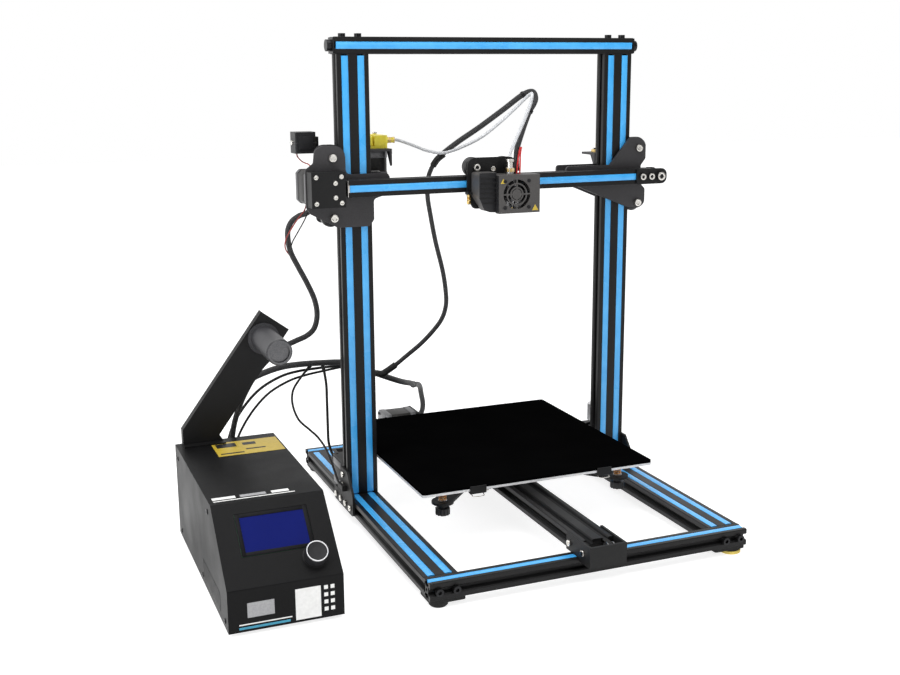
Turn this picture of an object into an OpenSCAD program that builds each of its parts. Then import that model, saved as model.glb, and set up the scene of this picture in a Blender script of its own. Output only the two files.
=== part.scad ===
// Open-frame filament printer: slotted base and portal, moving bed, X gantry
// on two lead screws, and a separate control box with a spool arm.

/* [Frame] */
// Width across the two side rails
frame_w = 400; // [330:1:500]
// Depth over the front and rear rails
frame_d = 500; // [410:1:620]
// Length of each upright
upright_l = 550; // [450:1:680]
// Distance from the frame's front face to the middle of the uprights
upright_y = 300; // [270:1:320]
// Height of the rails above the floor
foot_h = 10; // [8:1:14]
// Overhang of the top bar past the side rails, each end
top_bar_over = 2; // [0:0.5:10]

/* [Bed] */
// Gap between the bed and each upright
bed_side_gap = 5; // [3:0.5:12]
// Depth of the bed, front to back
bed_d = 310; // [220:1:330]
// Thickness of the glass plate
glass_t = 3.5; // [2:0.5:6]
// Thickness of the heated aluminium plate
bed_t = 3; // [2:0.5:5]
// Height of the bed springs
spring_h = 16; // [10:1:22]
// Diameter of the levelling wheels
level_wheel_d = 18; // [14:1:24]
// Distance of the bed's middle in front of the uprights' middle
bed_shift = 6; // [0:1:30]

/* [Gantry] */
// Height of the X rail's middle above the floor
gantry_z = 423; // [300:1:470]
// Thickness of every gantry and carriage plate
plate_t = 3; // [2.5:0.5:4]
// Height of the outer wheels above and below the X rail's middle
wheel_rise = 36; // [33:0.5:44]
// Place of the carriage's middle, left to right
carriage_x = -13; // [-100:1:100]
// Spacing of the carriage's two upper wheels
carriage_pitch = 42; // [34:1:60]

/* [Wheels and drives] */
// Diameter of each V-wheel
wheel_d = 23.9; // [22:0.1:24.4]
// Radius of every wheel axle
axle_r = 2.5; // [2:0.1:3]
// Running clearance of a wheel on its axle, radial
axle_gap = 0.05; // [0.02:0.01:0.09]
// Radius of the belt pulleys
pulley_r = 6; // [5.6:0.1:6.1]
// Radius of the lead screws
screw_r = 4; // [3:0.25:4.5]
// Length of the lead screws
screw_l = 475; // [400:1:560]
// Side of the square stepper motors
motor_w = 42; // [40:0.5:43]

/* [Control box] */
// Width of the control box
box_w = 122; // [100:1:150]
// Depth of the control box
box_d = 298; // [250:1:340]
// Height of the control box above its feet
box_h = 114.6; // [100:0.1:140]
// Height of the upright part of its front
box_front_h = 47; // [40:1:56]
// Depth of the sloping display panel, measured level
box_slope_d = 70; // [60:1:84]
// Wall of the box's sheet metal
box_wall = 1.2; // [0.8:0.1:2]
// Gap between the box and the frame
box_gap = 88; // [70:1:140]

/* [Spool arm] */
// Width of the spool arm
arm_w = 42; // [34:1:50]
// Lean of the spool arm from upright, degrees
arm_lean = 36.5; // [20:0.5:45]
// Length of the spool arm's leaning part
arm_l = 172; // [140:1:200]
// Diameter of the spool peg
peg_d = 31; // [24:1:40]
// Length of the spool peg
peg_l = 83; // [60:1:110]

/* [Hidden] */
$fn = 48;

// Slotted rail: 20 mm module, V mouth, T chamber
mod = 20;
half = mod / 2;
mouth = 4.6;
throat = 3.1;
lip = 1.5;
rail_z = foot_h + half;
deck_z = foot_h + mod;
y_rail_z = deck_z + half;
frame_x = frame_w / 2;
upright_w = 2 * mod;
post_x = frame_x - mod;
top_z = deck_z + upright_l;
fit = 0.05;

// Wheels: distance from a rail's face to the wheel's middle
wheel_r = wheel_d / 2;
wheel_w = 10.2;
wheel_flat = 5.9;
wheel_off = wheel_r - lip;
plate_off = 12.5;
side_gap = 0.4;
head_r = 4.4;
head_h = 4;

// Gantry places
front_y = upright_y - plate_off;
back_y = upright_y + plate_off;
rail_back_y = front_y - plate_t;
rail_y = rail_back_y - half;
rail_front_y = rail_y - half;
rail_left = -frame_x + 3;
rail_right = frame_x + 20;
outer_x = frame_x + wheel_off;
inner_x = post_x - mod - wheel_off;
car_y = rail_y - plate_off;
idler_x = frame_x + 31;
xmotor_x = -frame_x - 1 - motor_w / 2;
belt_w = 6;
belt_t = 1.2;
belt_gap = 0.15;
belt_r = pulley_r + belt_gap;
motor_gap = 0.5;
shaft_r = 2.5;
pilot_r = 11;
hole_pitch = 31;
screw_y = upright_y + half + motor_gap + 3.5 + motor_w / 2;
zmotor_l = 34;
z_shelf = deck_z + motor_gap + zmotor_l;
coupler_z = z_shelf + plate_t + 7;
coupler_l = 25;
shelf_left = gantry_z + 43;
shelf_right = gantry_z + 29;
feeder_x = -post_x + 35;
feeder_y = screw_y + 15;
feeder_l = 35;
feed_z = shelf_left + 9;
lever_x = feeder_x - hole_pitch / 2;
lever_y = feeder_y - hole_pitch / 2;
pivot_r = 2.1;

// Bed places
bed_w = frame_w - 2 * upright_w - 2 * bed_side_gap;
bed_y = upright_y - bed_shift;
y_plate_z = y_rail_z + plate_off;
bed_z = y_plate_z + plate_t + spring_h;
glass_z = bed_z + bed_t;
level_x = bed_w / 2 - 35;
level_y = bed_d / 2 - 25;
y_wheel_x = mod + wheel_off;
y_wheel_y = 55;
level_z = y_plate_z - 14;
y_belt_x = half;
y_idler_y = -10;
y_motor_y = frame_d + 32;
ymotor_l = 48;
xmotor_l = 48;

// Hotend places
hot_x = carriage_x + 17;
hot_y = car_y - plate_t - 16;
nozzle_z = gantry_z - 35.6;
fan_x = hot_x;
fan_z = gantry_z - 11;
fan_d = 36;
shroud_y = car_y - plate_t - 37;
rotor_y = shroud_y + 5.5;

// Control box places
box_x = -frame_x - box_gap - box_w;
box_y = 20;
box_foot = 3;
box_top = box_foot + box_h;
slope_rise = box_h - box_front_h;
slope_len = sqrt(box_slope_d * box_slope_d + slope_rise * slope_rise);
slope_deg = atan2(slope_rise, box_slope_d);
lcd_w = 78;
lcd_l = 49;
lcd_x = box_w / 2;
lcd_s = 34.5;
knob_x = box_w - 25;
knob_s = 24;
knob_r = 12.5;
encoder_r = 3;
gland_x = [box_x + 54, box_x + 75];
gland_z = 83;
arm_y = box_y + box_d - 14;
arm_x = box_x + 8;
arm_rise = 20;
arm_t = 2;
peg_s = arm_l - 26;
peg_x = arm_x + arm_w / 2 * cos(arm_lean) + peg_s * sin(arm_lean);
peg_z = box_top + arm_rise - arm_w / 2 * sin(arm_lean) + peg_s * cos(arm_lean);

// The origin is on the floor under the middle of the whole printer
left_end = box_x;
right_end = idler_x + half;
front_end = y_idler_y - 15;
rear_end = y_motor_y + motor_w / 2;
off_x = -(left_end + right_end) / 2;
off_y = -(front_end + rear_end) / 2;

// Cord routes, from the frame's front middle at floor level
bowden_path = [
    [-108.6, 350, 474.7], [-102, 350, 474], [-84, 343, 467], [-70, 335, 461], [-54, 326, 458],
    [-38, 318, 462], [-11, 300, 477], [10, 284, 497], [25, 272, 514], [32, 263, 524],
    [36, 256, 530], [37, 250, 531], [33, 246, 520], [24, 245, 500], [12, 244, 476],
    [5, 243, 462], [4, 243, 457]
];
hotend_path = [
    [16, 249, 438], [16, 250, 446], [18, 253, 463], [25, 256, 481], [38, 261, 508],
    [47, 265, 519], [51, 269, 526], [50, 273, 533], [44, 277, 533], [34, 281, 527],
    [18, 290, 513], [-9, 307, 490], [-30, 322, 473], [-46, 332, 459], [-54, 337, 450]
];
riser_path = [
    [-56.5, 338.5, 447], [-62, 341, 437], [-66, 342, 424], [-67, 342, 402], [-63, 342, 376],
    [-57, 341, 343], [-47, 342, 304], [-42, 344, 276], [-41, 346, 256], [-46, 348, 238],
    [-56, 353, 222], [-71, 362, 203], [-87, 373, 186], [-102, 382, 171], [-112, 386, 163]
];
gantry_path = [
    [-228, 322, 401.5], [-228, 323, 396], [-232, 328, 390], [-241, 334, 386], [-250, 338, 378],
    [-254, 341, 364], [-251, 342, 342], [-242, 342, 322], [-231, 342, 300], [-222, 342, 278],
    [-219, 343, 258], [-223, 344, 241], [-233, 344, 232], [-248, 342, 227], [-266, 339, 221],
    [-283, 335, 211], [-299, 332, 197], [-312, 330, 180], [-324, 330, 158],
    [-333, 332, 132], [-337, 334, 108], [-337, 333, 93], [-336, 328, 85], [-335, 323, 83],
    [-335, 318.8, 83]
];
trunk_path = [
    [-356, 319.2, 83], [-356, 326, 84], [-357, 334, 90], [-357, 339, 103], [-354, 342, 125],
    [-344, 345, 147], [-329, 350, 163], [-309, 356, 177], [-287, 362, 184], [-262, 368, 188],
    [-237, 373, 188], [-209, 378, 186], [-173, 383, 182], [-149, 385, 172], [-122, 388, 159],
    [-87, 405, 142], [-58, 442, 127], [-38, 482, 113], [-18, 520, 102], [-4, 549, 90],
    [5, 567, 72], [10, 574, 54], [9, 578, 40], [1, 581, 30], [-12, 583, 26], [-26, 582, 28],
    [-38, 576, 33], [-45, 567, 38], [-47, 559, 40], [-47, 553.4, 40]
];

// Thin leads that leave the trunk: one to the left Z motor, one looping to the limit switch
motor_lead_path = [
    [-203, 378.5, 179.2], [-200, 378, 156], [-200, 377, 131], [-201, 373, 101], [-202, 367, 78],
    [-197, 364, 60], [-191, 361, 51], [-190, 356.3, 50]
];
switch_lead_path = [
    [-224, 375.5, 181], [-233, 375, 172], [-246, 374, 154], [-248, 372, 135], [-241, 370, 114],
    [-227, 368, 99], [-217, 363, 88], [-210, 350, 74], [-207.3, 330, 56], [-206.3, 315, 43.5],
    [-206.2, 306.4, 41.5]
];

// ---- helpers ----

module placed() translate([off_x, off_y, 0]) children();

function unit(v) = v / norm(v);

// One corner b of an outline turned into an arc of radius r
function arc_pts(a, b, c, r, n) =
    let (u = unit(a - b), v = unit(c - b),
         turn = acos(max(-1, min(1, u * v))),
         run = r / tan(turn / 2),
         mid = b + unit(u + v) * (r / sin(turn / 2)),
         s = b + u * run - mid, e = b + v * run - mid,
         a0 = atan2(s[1], s[0]), d = atan2(e[1], e[0]) - a0,
         step = d > 180 ? d - 360 : (d < -180 ? d + 360 : d))
    [for (i = [0:n]) mid + r * [cos(a0 + step * i / n), sin(a0 + step * i / n)]];

// Outline of [x, y, radius] corners, each rounded by its own radius
function rounded(p, n = 5) =
    let (k = len(p))
    [for (i = [0:k - 1])
        let (a = p[(i + k - 1) % k], b = p[i], c = p[(i + 1) % k])
        each (b[2] > 0
            ? arc_pts([a[0], a[1]], [b[0], b[1]], [c[0], c[1]], b[2], n)
            : [[b[0], b[1]]])];

function box_pts(x0, y0, x1, y1, r) = [[x0, y0, r], [x1, y0, r], [x1, y1, r], [x0, y1, r]];

module slab(p, t, n = 5) linear_extrude(t) polygon(rounded(p, n));

// A plate standing in the X-Z plane, its front face at y
module upright_plate(y, t) translate([0, y + t, 0]) rotate([90, 0, 0]) linear_extrude(t) children();

// Rods along each axis, from a to b
module rod_y(x, z, a, b, r) translate([x, a, z]) rotate([-90, 0, 0]) cylinder(r = r, h = b - a);
module rod_x(y, z, a, b, r) translate([a, y, z]) rotate([0, 90, 0]) cylinder(r = r, h = b - a);
module rod_z(x, y, a, b, r) translate([x, y, a]) cylinder(r = r, h = b - a);

module block(lo, hi) translate(lo) cube(hi - lo);

// ---- slotted rails ----

module slot_cut() polygon([
    [-mouth - 0.02, 0.02], [-throat, -lip], [-throat, -1.8], [-5.5, -1.8], [-5.5, -3.5],
    [-2.9, -6.1], [2.9, -6.1], [5.5, -3.5], [5.5, -1.8], [throat, -1.8], [throat, -lip],
    [mouth + 0.02, 0.02]
]);

// Section of a rail n modules wide in X and one in Y
module rail_section(n) {
    difference() {
        polygon(rounded(box_pts(-n * half, -half, n * half, half, 0.8), 3));
        for (i = [0:n - 1]) {
            x = (i - (n - 1) / 2) * mod;
            translate([x, half]) slot_cut();
            translate([x, -half]) rotate(180) slot_cut();
            translate([x, 0]) circle(r = 2.1, $fn = 24);
        }
        translate([n * half, 0]) rotate(-90) slot_cut();
        translate([-n * half, 0]) rotate(90) slot_cut();
    }
}

module cover_section() polygon([
    [-mouth + 0.1, -0.06], [mouth - 0.1, -0.06], [throat - 0.1, -lip - 0.02],
    [throat - 0.2, -3.2], [-throat + 0.2, -3.2], [-throat + 0.1, -lip - 0.02]
]);

// Rails laid along Y, along X and standing up, each n modules wide
module rail_along_y(x, z, y0, y1, n)
    translate([x, y1, z]) rotate([90, 0, 0]) linear_extrude(y1 - y0) rail_section(n);
module rail_along_x(y, z, x0, x1)
    translate([x0, y, z]) rotate([90, 0, 90]) linear_extrude(x1 - x0) rail_section(1);
module rail_up(x, y, z0, z1, n)
    translate([x, y, z0]) linear_extrude(z1 - z0) rail_section(n);

module base_rails() placed() color([0.07, 0.07, 0.08]) {
    for (s = [-1, 1])
        rail_along_y(s * post_x, rail_z, mod + fit, frame_d - mod - fit, 2);
    for (y = [half, frame_d - half])
        rail_along_x(y, rail_z, -frame_x, frame_x);
    rail_along_y(0, y_rail_z + fit, 0, frame_d, 2);
}

module portal_rails() placed() color([0.07, 0.07, 0.08]) {
    for (s = [-1, 1])
        rail_up(s * post_x, upright_y, deck_z + fit, top_z, 2);
    rail_along_x(upright_y, top_z + half + fit, -frame_x - top_bar_over, frame_x + top_bar_over);
}

module slot_covers() placed() color([0.15, 0.5, 0.9]) {
    inset = 2;
    for (s = [-1, 1], dx = [-half, half]) {
        translate([s * post_x + dx, frame_d - mod - inset, deck_z]) rotate([90, 0, 0])
            linear_extrude(frame_d - 2 * mod - 2 * inset) cover_section();
        translate([s * post_x + dx, upright_y - half, deck_z + inset]) rotate([0, 0, 180])
            linear_extrude(upright_l - 2 * inset) cover_section();
    }
    for (y = [half, frame_d - half])
        translate([-frame_x + inset, y, deck_z]) rotate([90, 0, 90])
            linear_extrude(frame_w - 2 * inset) cover_section();
    translate([-frame_x, upright_y - half, top_z + half + fit]) rotate([90, 90, 90])
        mirror([0, 1, 0]) linear_extrude(frame_w) mirror([0, 1, 0]) rotate(180) cover_section();
}

// Socket screw with its head's underside at the origin, shank along -Z
module socket_screw(shank) {
    difference() {
        cylinder(r = head_r, h = head_h);
        translate([0, 0, 1.5]) cylinder(r = 2.3, h = head_h, $fn = 6);
    }
    if (shank > 0) translate([0, 0, -shank]) cylinder(r = 1.9, h = shank + 0.1);
}

module frame_fixings() placed() color([0.1, 0.1, 0.11]) {
    for (s = [-1, 1], dx = [-half, half]) {
        translate([s * post_x + dx, -fit, rail_z]) rotate([90, 0, 0]) socket_screw(0);
        translate([s * post_x + dx, frame_d + fit, rail_z]) rotate([-90, 0, 0]) socket_screw(0);
        translate([s * post_x + dx, upright_y, top_z + mod + 2 * fit]) socket_screw(0);
    }
    // Caps on both ends of the top bar
    for (s = [-1, 1])
        translate([s * (frame_x + top_bar_over + fit), upright_y, top_z + half + fit]) rotate([0, s * 90, 0]) {
            slab(box_pts(-half + 0.5, -half + 0.5, half - 0.5, half - 0.5, 1), 2);
            cylinder(r = 7, h = 8);
        }
    // Axle bolt of the Y idler pulley
    difference() {
        rod_x(y_idler_y, y_rail_z, -mod - plate_t - 4, mod + plate_t + 4, shaft_r);
        block([-mod - plate_t - 5, y_idler_y - 4, y_rail_z - 4],
              [-mod - plate_t - 3.9, y_idler_y + 4, y_rail_z + 4]);
    }
}

module corner_feet() placed() color([0.09, 0.09, 0.09]) {
    plate_h = 4;
    for (sx = [-1, 1], y = [0, 1]) translate([sx * frame_x, y * frame_d, 0])
        mirror([sx > 0 ? 1 : 0, 0, 0]) mirror([0, y, 0]) {
            translate([0, 0, foot_h - plate_h - fit])
                slab(box_pts(1, 1, 42, 34, 3), plate_h);
            translate([14, 12, 0]) rotate_extrude()
                polygon([[0, 0], [9, 0], [10.5, 1.5], [11.5, foot_h - plate_h], [0, foot_h - plate_h]]);
        }
}

// ---- motors and brackets ----

// Stepper with its mounting face at z = 0 and its body below
module stepper(l) {
    c = 4;
    difference() {
        translate([0, 0, -l]) slab([
            [-motor_w / 2 + c, -motor_w / 2, 0], [motor_w / 2 - c, -motor_w / 2, 0],
            [motor_w / 2, -motor_w / 2 + c, 0], [motor_w / 2, motor_w / 2 - c, 0],
            [motor_w / 2 - c, motor_w / 2, 0], [-motor_w / 2 + c, motor_w / 2, 0],
            [-motor_w / 2, motor_w / 2 - c, 0], [-motor_w / 2, -motor_w / 2 + c, 0]
        ], l);
        translate([0, 0, -20]) cylinder(r = shaft_r + 0.4, h = 30);
        for (x = [-1, 1], y = [-1, 1])
            translate([x * hole_pitch / 2, y * hole_pitch / 2, -5]) cylinder(r = 1.5, h = 8);
    }
    difference() {
        cylinder(r = pilot_r, h = 2);
        translate([0, 0, -1]) cylinder(r = shaft_r + 0.4, h = 4);
    }
}

// Holes for a stepper's pilot and screws, through a plate
module stepper_holes(h) {
    translate([0, 0, -1]) cylinder(r = pilot_r + 0.3, h = h + 2);
    for (x = [-1, 1], y = [-1, 1])
        translate([x * hole_pitch / 2, y * hole_pitch / 2, -1]) cylinder(r = 1.6, h = h + 2);
}

module frame_motors() placed() color([0.13, 0.13, 0.14]) {
    for (s = [-1, 1]) translate([s * post_x, screw_y, z_shelf]) stepper(zmotor_l);
    translate([-mod - plate_t - fit, y_motor_y, y_rail_z]) rotate([0, 90, 0]) stepper(ymotor_l);
}

// Shelf over each Z motor and a flange up the back of its upright
module z_motor_bracket() {
    back = upright_y + half + fit;
    difference() {
        block([-motor_w / 2 + 1, back, z_shelf + fit],
              [motor_w / 2 - 1, screw_y + motor_w / 2, z_shelf + fit + plate_t]);
        translate([0, screw_y, z_shelf]) stepper_holes(plate_t + 1);
    }
    difference() {
        block([-motor_w / 2 + 1, back, deck_z + 0.3], [motor_w / 2 - 1, back + plate_t, z_shelf + fit + plate_t]);
        for (x = [-half, half])
            rod_y(x, z_shelf - 12, back - 1, back + plate_t + 1, 2.6);
    }
}

// Side plate that ties an upright to its side rail
module side_plate() {
    x = frame_x + fit;
    translate([x, 0, 0]) rotate([90, 0, 90]) linear_extrude(plate_t) difference() {
        polygon(rounded([[upright_y - 38, foot_h + 1, 4], [upright_y + 42, foot_h + 1, 4],
            [upright_y + 42, deck_z - 0.5, 4], [upright_y + 12.5, deck_z - 0.5, 0],
            [upright_y + 12.5, deck_z + 34, 4], [upright_y - 16, deck_z + 34, 4],
            [upright_y - 38, deck_z + 8, 4]]));
        for (y = [-28, -8, 12, 32]) translate([upright_y + y, rail_z]) circle(r = 2.6);
        for (z = [12, 26]) translate([upright_y, deck_z + z]) circle(r = 2.6);
    }
}

module motor_brackets() placed() color([0.1, 0.1, 0.1]) {
    for (s = [-1, 1]) {
        translate([s * post_x, 0, 0]) z_motor_bracket();
        mirror([s < 0 ? 1 : 0, 0, 0]) side_plate();
    }
    // Limit switch at the foot of the left upright
    sw = frame_x + fit + plate_t;
    block([-sw - 6, upright_y - 14, deck_z + 8], [-sw + 0.1, upright_y + 6, deck_z + 15]);
    // Box of the Y idler at the front of the Y rail
    side = mod + plate_t + fit;
    difference() {
        block([-side, y_idler_y - 15, foot_h + 17], [side, 30, y_plate_z - 1.2]);
        block([-mod - fit, y_idler_y - 12, 0], [mod + fit, 31, y_plate_z]);
        block([-side - 1, -0.4, 0], [side + 1, 31, deck_z + 0.4]);
        rod_x(y_idler_y, y_rail_z, -side - 1, side + 1, shaft_r + 0.1);
        rod_x(22, y_rail_z, -side - 1, side + 1, 2.6);
    }
    // Plate that carries the Y motor behind the rear rail
    difference() {
        translate([-mod - plate_t, 0, 0]) rotate([90, 0, 90]) linear_extrude(plate_t - fit)
            polygon(rounded([
                [frame_d - 30, deck_z + 0.5, 0], [frame_d + 6, deck_z + 0.5, 0],
                [frame_d + 6, y_rail_z - motor_w / 2, 0],
                [y_motor_y + motor_w / 2, y_rail_z - motor_w / 2, 3],
                [y_motor_y + motor_w / 2, y_rail_z + motor_w / 2, 3],
                [y_motor_y - motor_w / 2, y_rail_z + motor_w / 2, 3],
                [frame_d, y_plate_z - 1.5, 0], [frame_d - 30, y_plate_z - 1.5, 3]]));
        translate([-mod - plate_t, y_motor_y, y_rail_z]) rotate([0, 90, 0]) stepper_holes(plate_t);
        for (y = [-22, -8]) rod_x(frame_d + y, y_rail_z, -mod - 5, -mod + 1, 2.6);
    }
}

// ---- belts, pulleys and wheels ----

// Closed belt loop round two pulleys a and b apart along X, drawn in X-Y
module belt_loop(a, b) {
    difference() {
        loop_blank(a, b, belt_r + belt_t);
        translate([0, 0, -1]) loop_blank(a, b, belt_r, belt_w + 2);
    }
}
module loop_blank(a, b, r, h = belt_w) {
    translate([a, 0, 0]) cylinder(r = r, h = h);
    translate([b, 0, 0]) cylinder(r = r, h = h);
    translate([a, -r, 0]) cube([b - a, 2 * r, h]);
}

module y_belt() placed() color([0.05, 0.05, 0.05])
    translate([y_belt_x - belt_w / 2, 0, y_rail_z]) rotate([90, 0, 90])
        belt_loop(y_idler_y, y_motor_y);

module x_belt() placed() color([0.05, 0.05, 0.05])
    translate([0, rail_y + belt_w / 2, gantry_z]) rotate([90, 0, 0])
        belt_loop(xmotor_x, idler_x);

// Flanged pulley about Z, its belt track centred on z = 0
module pulley(bore) {
    w = belt_w / 2 + 0.35;
    rotate_extrude() polygon([
        [bore, -w - 0.8], [pulley_r + 1.8, -w - 0.8], [pulley_r + 1.8, -w], [pulley_r, -w],
        [pulley_r, w], [pulley_r + 1.8, w], [pulley_r + 1.8, w + 0.8], [bore, w + 0.8]
    ]);
}

module y_idler_pulley() placed() color([0.75, 0.75, 0.77])
    translate([y_belt_x, y_idler_y, y_rail_z]) rotate([0, 90, 0]) pulley(shaft_r + axle_gap);

module x_idler_pulley() placed() color([0.75, 0.75, 0.77])
    translate([idler_x, rail_y, gantry_z]) rotate([-90, 0, 0]) pulley(axle_r + axle_gap);

module y_drive_pulley() placed() color([0.75, 0.75, 0.77])
    translate([0, y_motor_y, y_rail_z]) rotate([0, 90, 0]) {
        translate([0, 0, y_belt_x]) pulley(0);
        translate([0, 0, -mod - plate_t - 18]) cylinder(r = shaft_r, h = y_belt_x + mod + plate_t + 24);
        translate([0, 0, y_belt_x - 12]) cylinder(r = 6.5, h = 8);
    }

module x_drive_pulley() placed() color([0.75, 0.75, 0.77])
    translate([xmotor_x, rail_y, gantry_z]) rotate([-90, 0, 0]) {
        pulley(0);
        translate([0, 0, -5]) cylinder(r = shaft_r, h = front_y - rail_y + 5 + 18);
    }

// V-wheel with its bearing, about Z, centred on z = 0
module v_wheel() {
    w = wheel_w / 2;
    f = wheel_flat / 2;
    edge = wheel_r - (w - f);
    rotate_extrude($fn = 64) polygon([
        [axle_r + axle_gap, -w + 0.1], [4, -w + 0.1], [4, -w + 0.9], [7.6, -w + 0.9], [7.6, -w],
        [edge, -w], [wheel_r, -f], [wheel_r, f], [edge, w], [7.6, w], [7.6, w - 0.9],
        [4, w - 0.9], [4, w - 0.1], [axle_r + axle_gap, w - 0.1]
    ]);
}

module wheel_color() color([0.16, 0.16, 0.16]) children();
module y_wheel(sx, sy) placed() wheel_color()
    translate([sx * y_wheel_x, bed_y + sy * y_wheel_y, y_rail_z]) v_wheel();
module z_wheel(x, dz) placed() wheel_color()
    translate([x, upright_y, gantry_z + dz]) rotate([90, 0, 0]) v_wheel();
module x_wheel(dx, s) placed() wheel_color()
    translate([carriage_x + dx, rail_y, gantry_z + s * (half + wheel_off)]) rotate([90, 0, 0]) v_wheel();

module y_wheel_front_left() y_wheel(-1, -1);
module y_wheel_front_right() y_wheel(1, -1);
module y_wheel_rear_left() y_wheel(-1, 1);
module y_wheel_rear_right() y_wheel(1, 1);
module z_wheel_left_upper() z_wheel(-outer_x, wheel_rise);
module z_wheel_left_lower() z_wheel(-outer_x, -wheel_rise);
module z_wheel_left_inner() z_wheel(-inner_x, 0);
module z_wheel_right_upper() z_wheel(outer_x, wheel_rise);
module z_wheel_right_lower() z_wheel(outer_x, -wheel_rise);
module z_wheel_right_inner() z_wheel(inner_x, 0);
module x_wheel_upper_left() x_wheel(-carriage_pitch / 2, 1);
module x_wheel_upper_right() x_wheel(carriage_pitch / 2, 1);
module x_wheel_lower() x_wheel(0, -1);

// Lead screw with its coupler, turned by the motor's shaft below
module lead_screw(s) placed() color([0.6, 0.6, 0.62]) translate([s * post_x, screw_y, 0]) {
    rod_z(0, 0, z_shelf - 18, coupler_z + 1, shaft_r);
    rotate_extrude() polygon([
        [0, coupler_z], [8.7, coupler_z], [9.5, coupler_z + 0.8],
        [9.5, coupler_z + coupler_l - 0.8], [8.7, coupler_z + coupler_l], [0, coupler_z + coupler_l]
    ]);
    rod_z(0, 0, coupler_z + coupler_l - 1, coupler_z + 10 + screw_l, screw_r);
}
module lead_screw_left() lead_screw(-1);
module lead_screw_right() lead_screw(1);

// ---- bed ----

// Carriage plate with an arm to each corner of the bed
module y_plate() placed() color([0.08, 0.08, 0.08]) {
    arm = 12;
    diag = 45;
    difference() {
        union() {
            translate([0, bed_y, y_plate_z]) slab(box_pts(-50, -72, 50, 72, 8), plate_t);
            for (sx = [-1, 1], sy = [-1, 1]) translate([0, bed_y, y_plate_z]) {
                dx = sx * level_x;
                dy = sy * level_y;
                p = unit([-dy, dx]) * arm;
                linear_extrude(plate_t) polygon([
                    [dx * 0.2, dy * 0.2] + p, [dx * 0.2, dy * 0.2] - p, [dx, dy] - p, [dx, dy] + p]);
                translate([dx, dy, 0]) cylinder(r = arm + 1.5, h = plate_t);
            }
        }
        for (sx = [-1, 1], sy = [-1, 1]) {
            rod_z(sx * level_x, bed_y + sy * level_y, y_plate_z - 1, y_plate_z + 9, 2.3);
            rod_z(sx * y_wheel_x, bed_y + sy * y_wheel_y, y_plate_z - 1, y_plate_z + 9, axle_r + 0.1);
        }
        translate([0, bed_y, y_plate_z - 1]) slab(box_pts(-14, -45, 14, -18, 5), 9);
        translate([0, bed_y, y_plate_z - 1]) slab(box_pts(-14, 18, 14, 45, 5), 9);
    }
    // Belt clamp that reaches down into the rail's slot
    block([y_belt_x - 2.3, bed_y - 9, y_rail_z + belt_r + belt_t + 0.35],
          [y_belt_x + 2.3, bed_y + 9, y_plate_z + 0.5]);
}

module heated_bed() placed() color([0.7, 0.7, 0.72])
    difference() {
        translate([0, bed_y, bed_z]) slab(box_pts(-bed_w / 2, -bed_d / 2, bed_w / 2, bed_d / 2, 3), bed_t);
        for (sx = [-1, 1], sy = [-1, 1])
            rod_z(sx * level_x, bed_y + sy * level_y, bed_z - 1, bed_z + 9, 2.3);
    }

module build_plate() placed() color([0.03, 0.03, 0.03])
    translate([0, bed_y, glass_z + fit])
        slab(box_pts(-bed_w / 2, -bed_d / 2, bed_w / 2, bed_d / 2, 4), glass_t - fit);

// Springs, levelling screws and wheel axles of the bed
module bed_fixings() placed() color([0.7, 0.5, 0.25]) {
    for (sx = [-1, 1], sy = [-1, 1]) {
        translate([sx * level_x, bed_y + sy * level_y, 0]) {
            translate([0, 0, y_plate_z + plate_t + fit]) difference() {
                cylinder(r = 4.8, h = spring_h - 2 * fit);
                translate([0, 0, -1]) cylinder(r = 3.4, h = spring_h + 2);
            }
            rod_z(0, 0, level_z - 3, bed_z + bed_t - 0.3, 2);
        }
        translate([sx * y_wheel_x, bed_y + sy * y_wheel_y, 0]) {
            rod_z(0, 0, y_rail_z - 9, y_plate_z + plate_t + 1, axle_r);
            rod_z(0, 0, y_rail_z + wheel_w / 2 + side_gap, y_plate_z - fit, 4);
            rod_z(0, 0, y_plate_z + plate_t + fit, y_plate_z + plate_t + fit + 3, head_r);
            rod_z(0, 0, y_rail_z - 9, y_rail_z - wheel_w / 2 - side_gap, 4.2);
        }
    }
}

// Finger wheel under a bed corner
module level_wheel(sx, sy) placed() color([0.08, 0.08, 0.08])
    translate([sx * level_x, bed_y + sy * level_y, level_z]) difference() {
        union() {
            cylinder(r = level_wheel_d / 2 - 1, h = 8);
            for (a = [0:30:330]) rotate(a) translate([level_wheel_d / 2 - 1.6, 0, 0])
                cylinder(r = 1.6, h = 8, $fn = 16);
            translate([0, 0, 7]) cylinder(r = 5, h = 6.2);
        }
        translate([0, 0, -1]) cylinder(r = 2 + axle_gap, h = 20);
    }
module level_wheel_front_left() level_wheel(-1, -1);
module level_wheel_front_right() level_wheel(1, -1);
module level_wheel_rear_left() level_wheel(-1, 1);
module level_wheel_rear_right() level_wheel(1, 1);

// ---- gantry ----

module x_rail() placed() color([0.07, 0.07, 0.08])
    rail_along_x(rail_y - fit, gantry_z, rail_left, rail_right);

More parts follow.
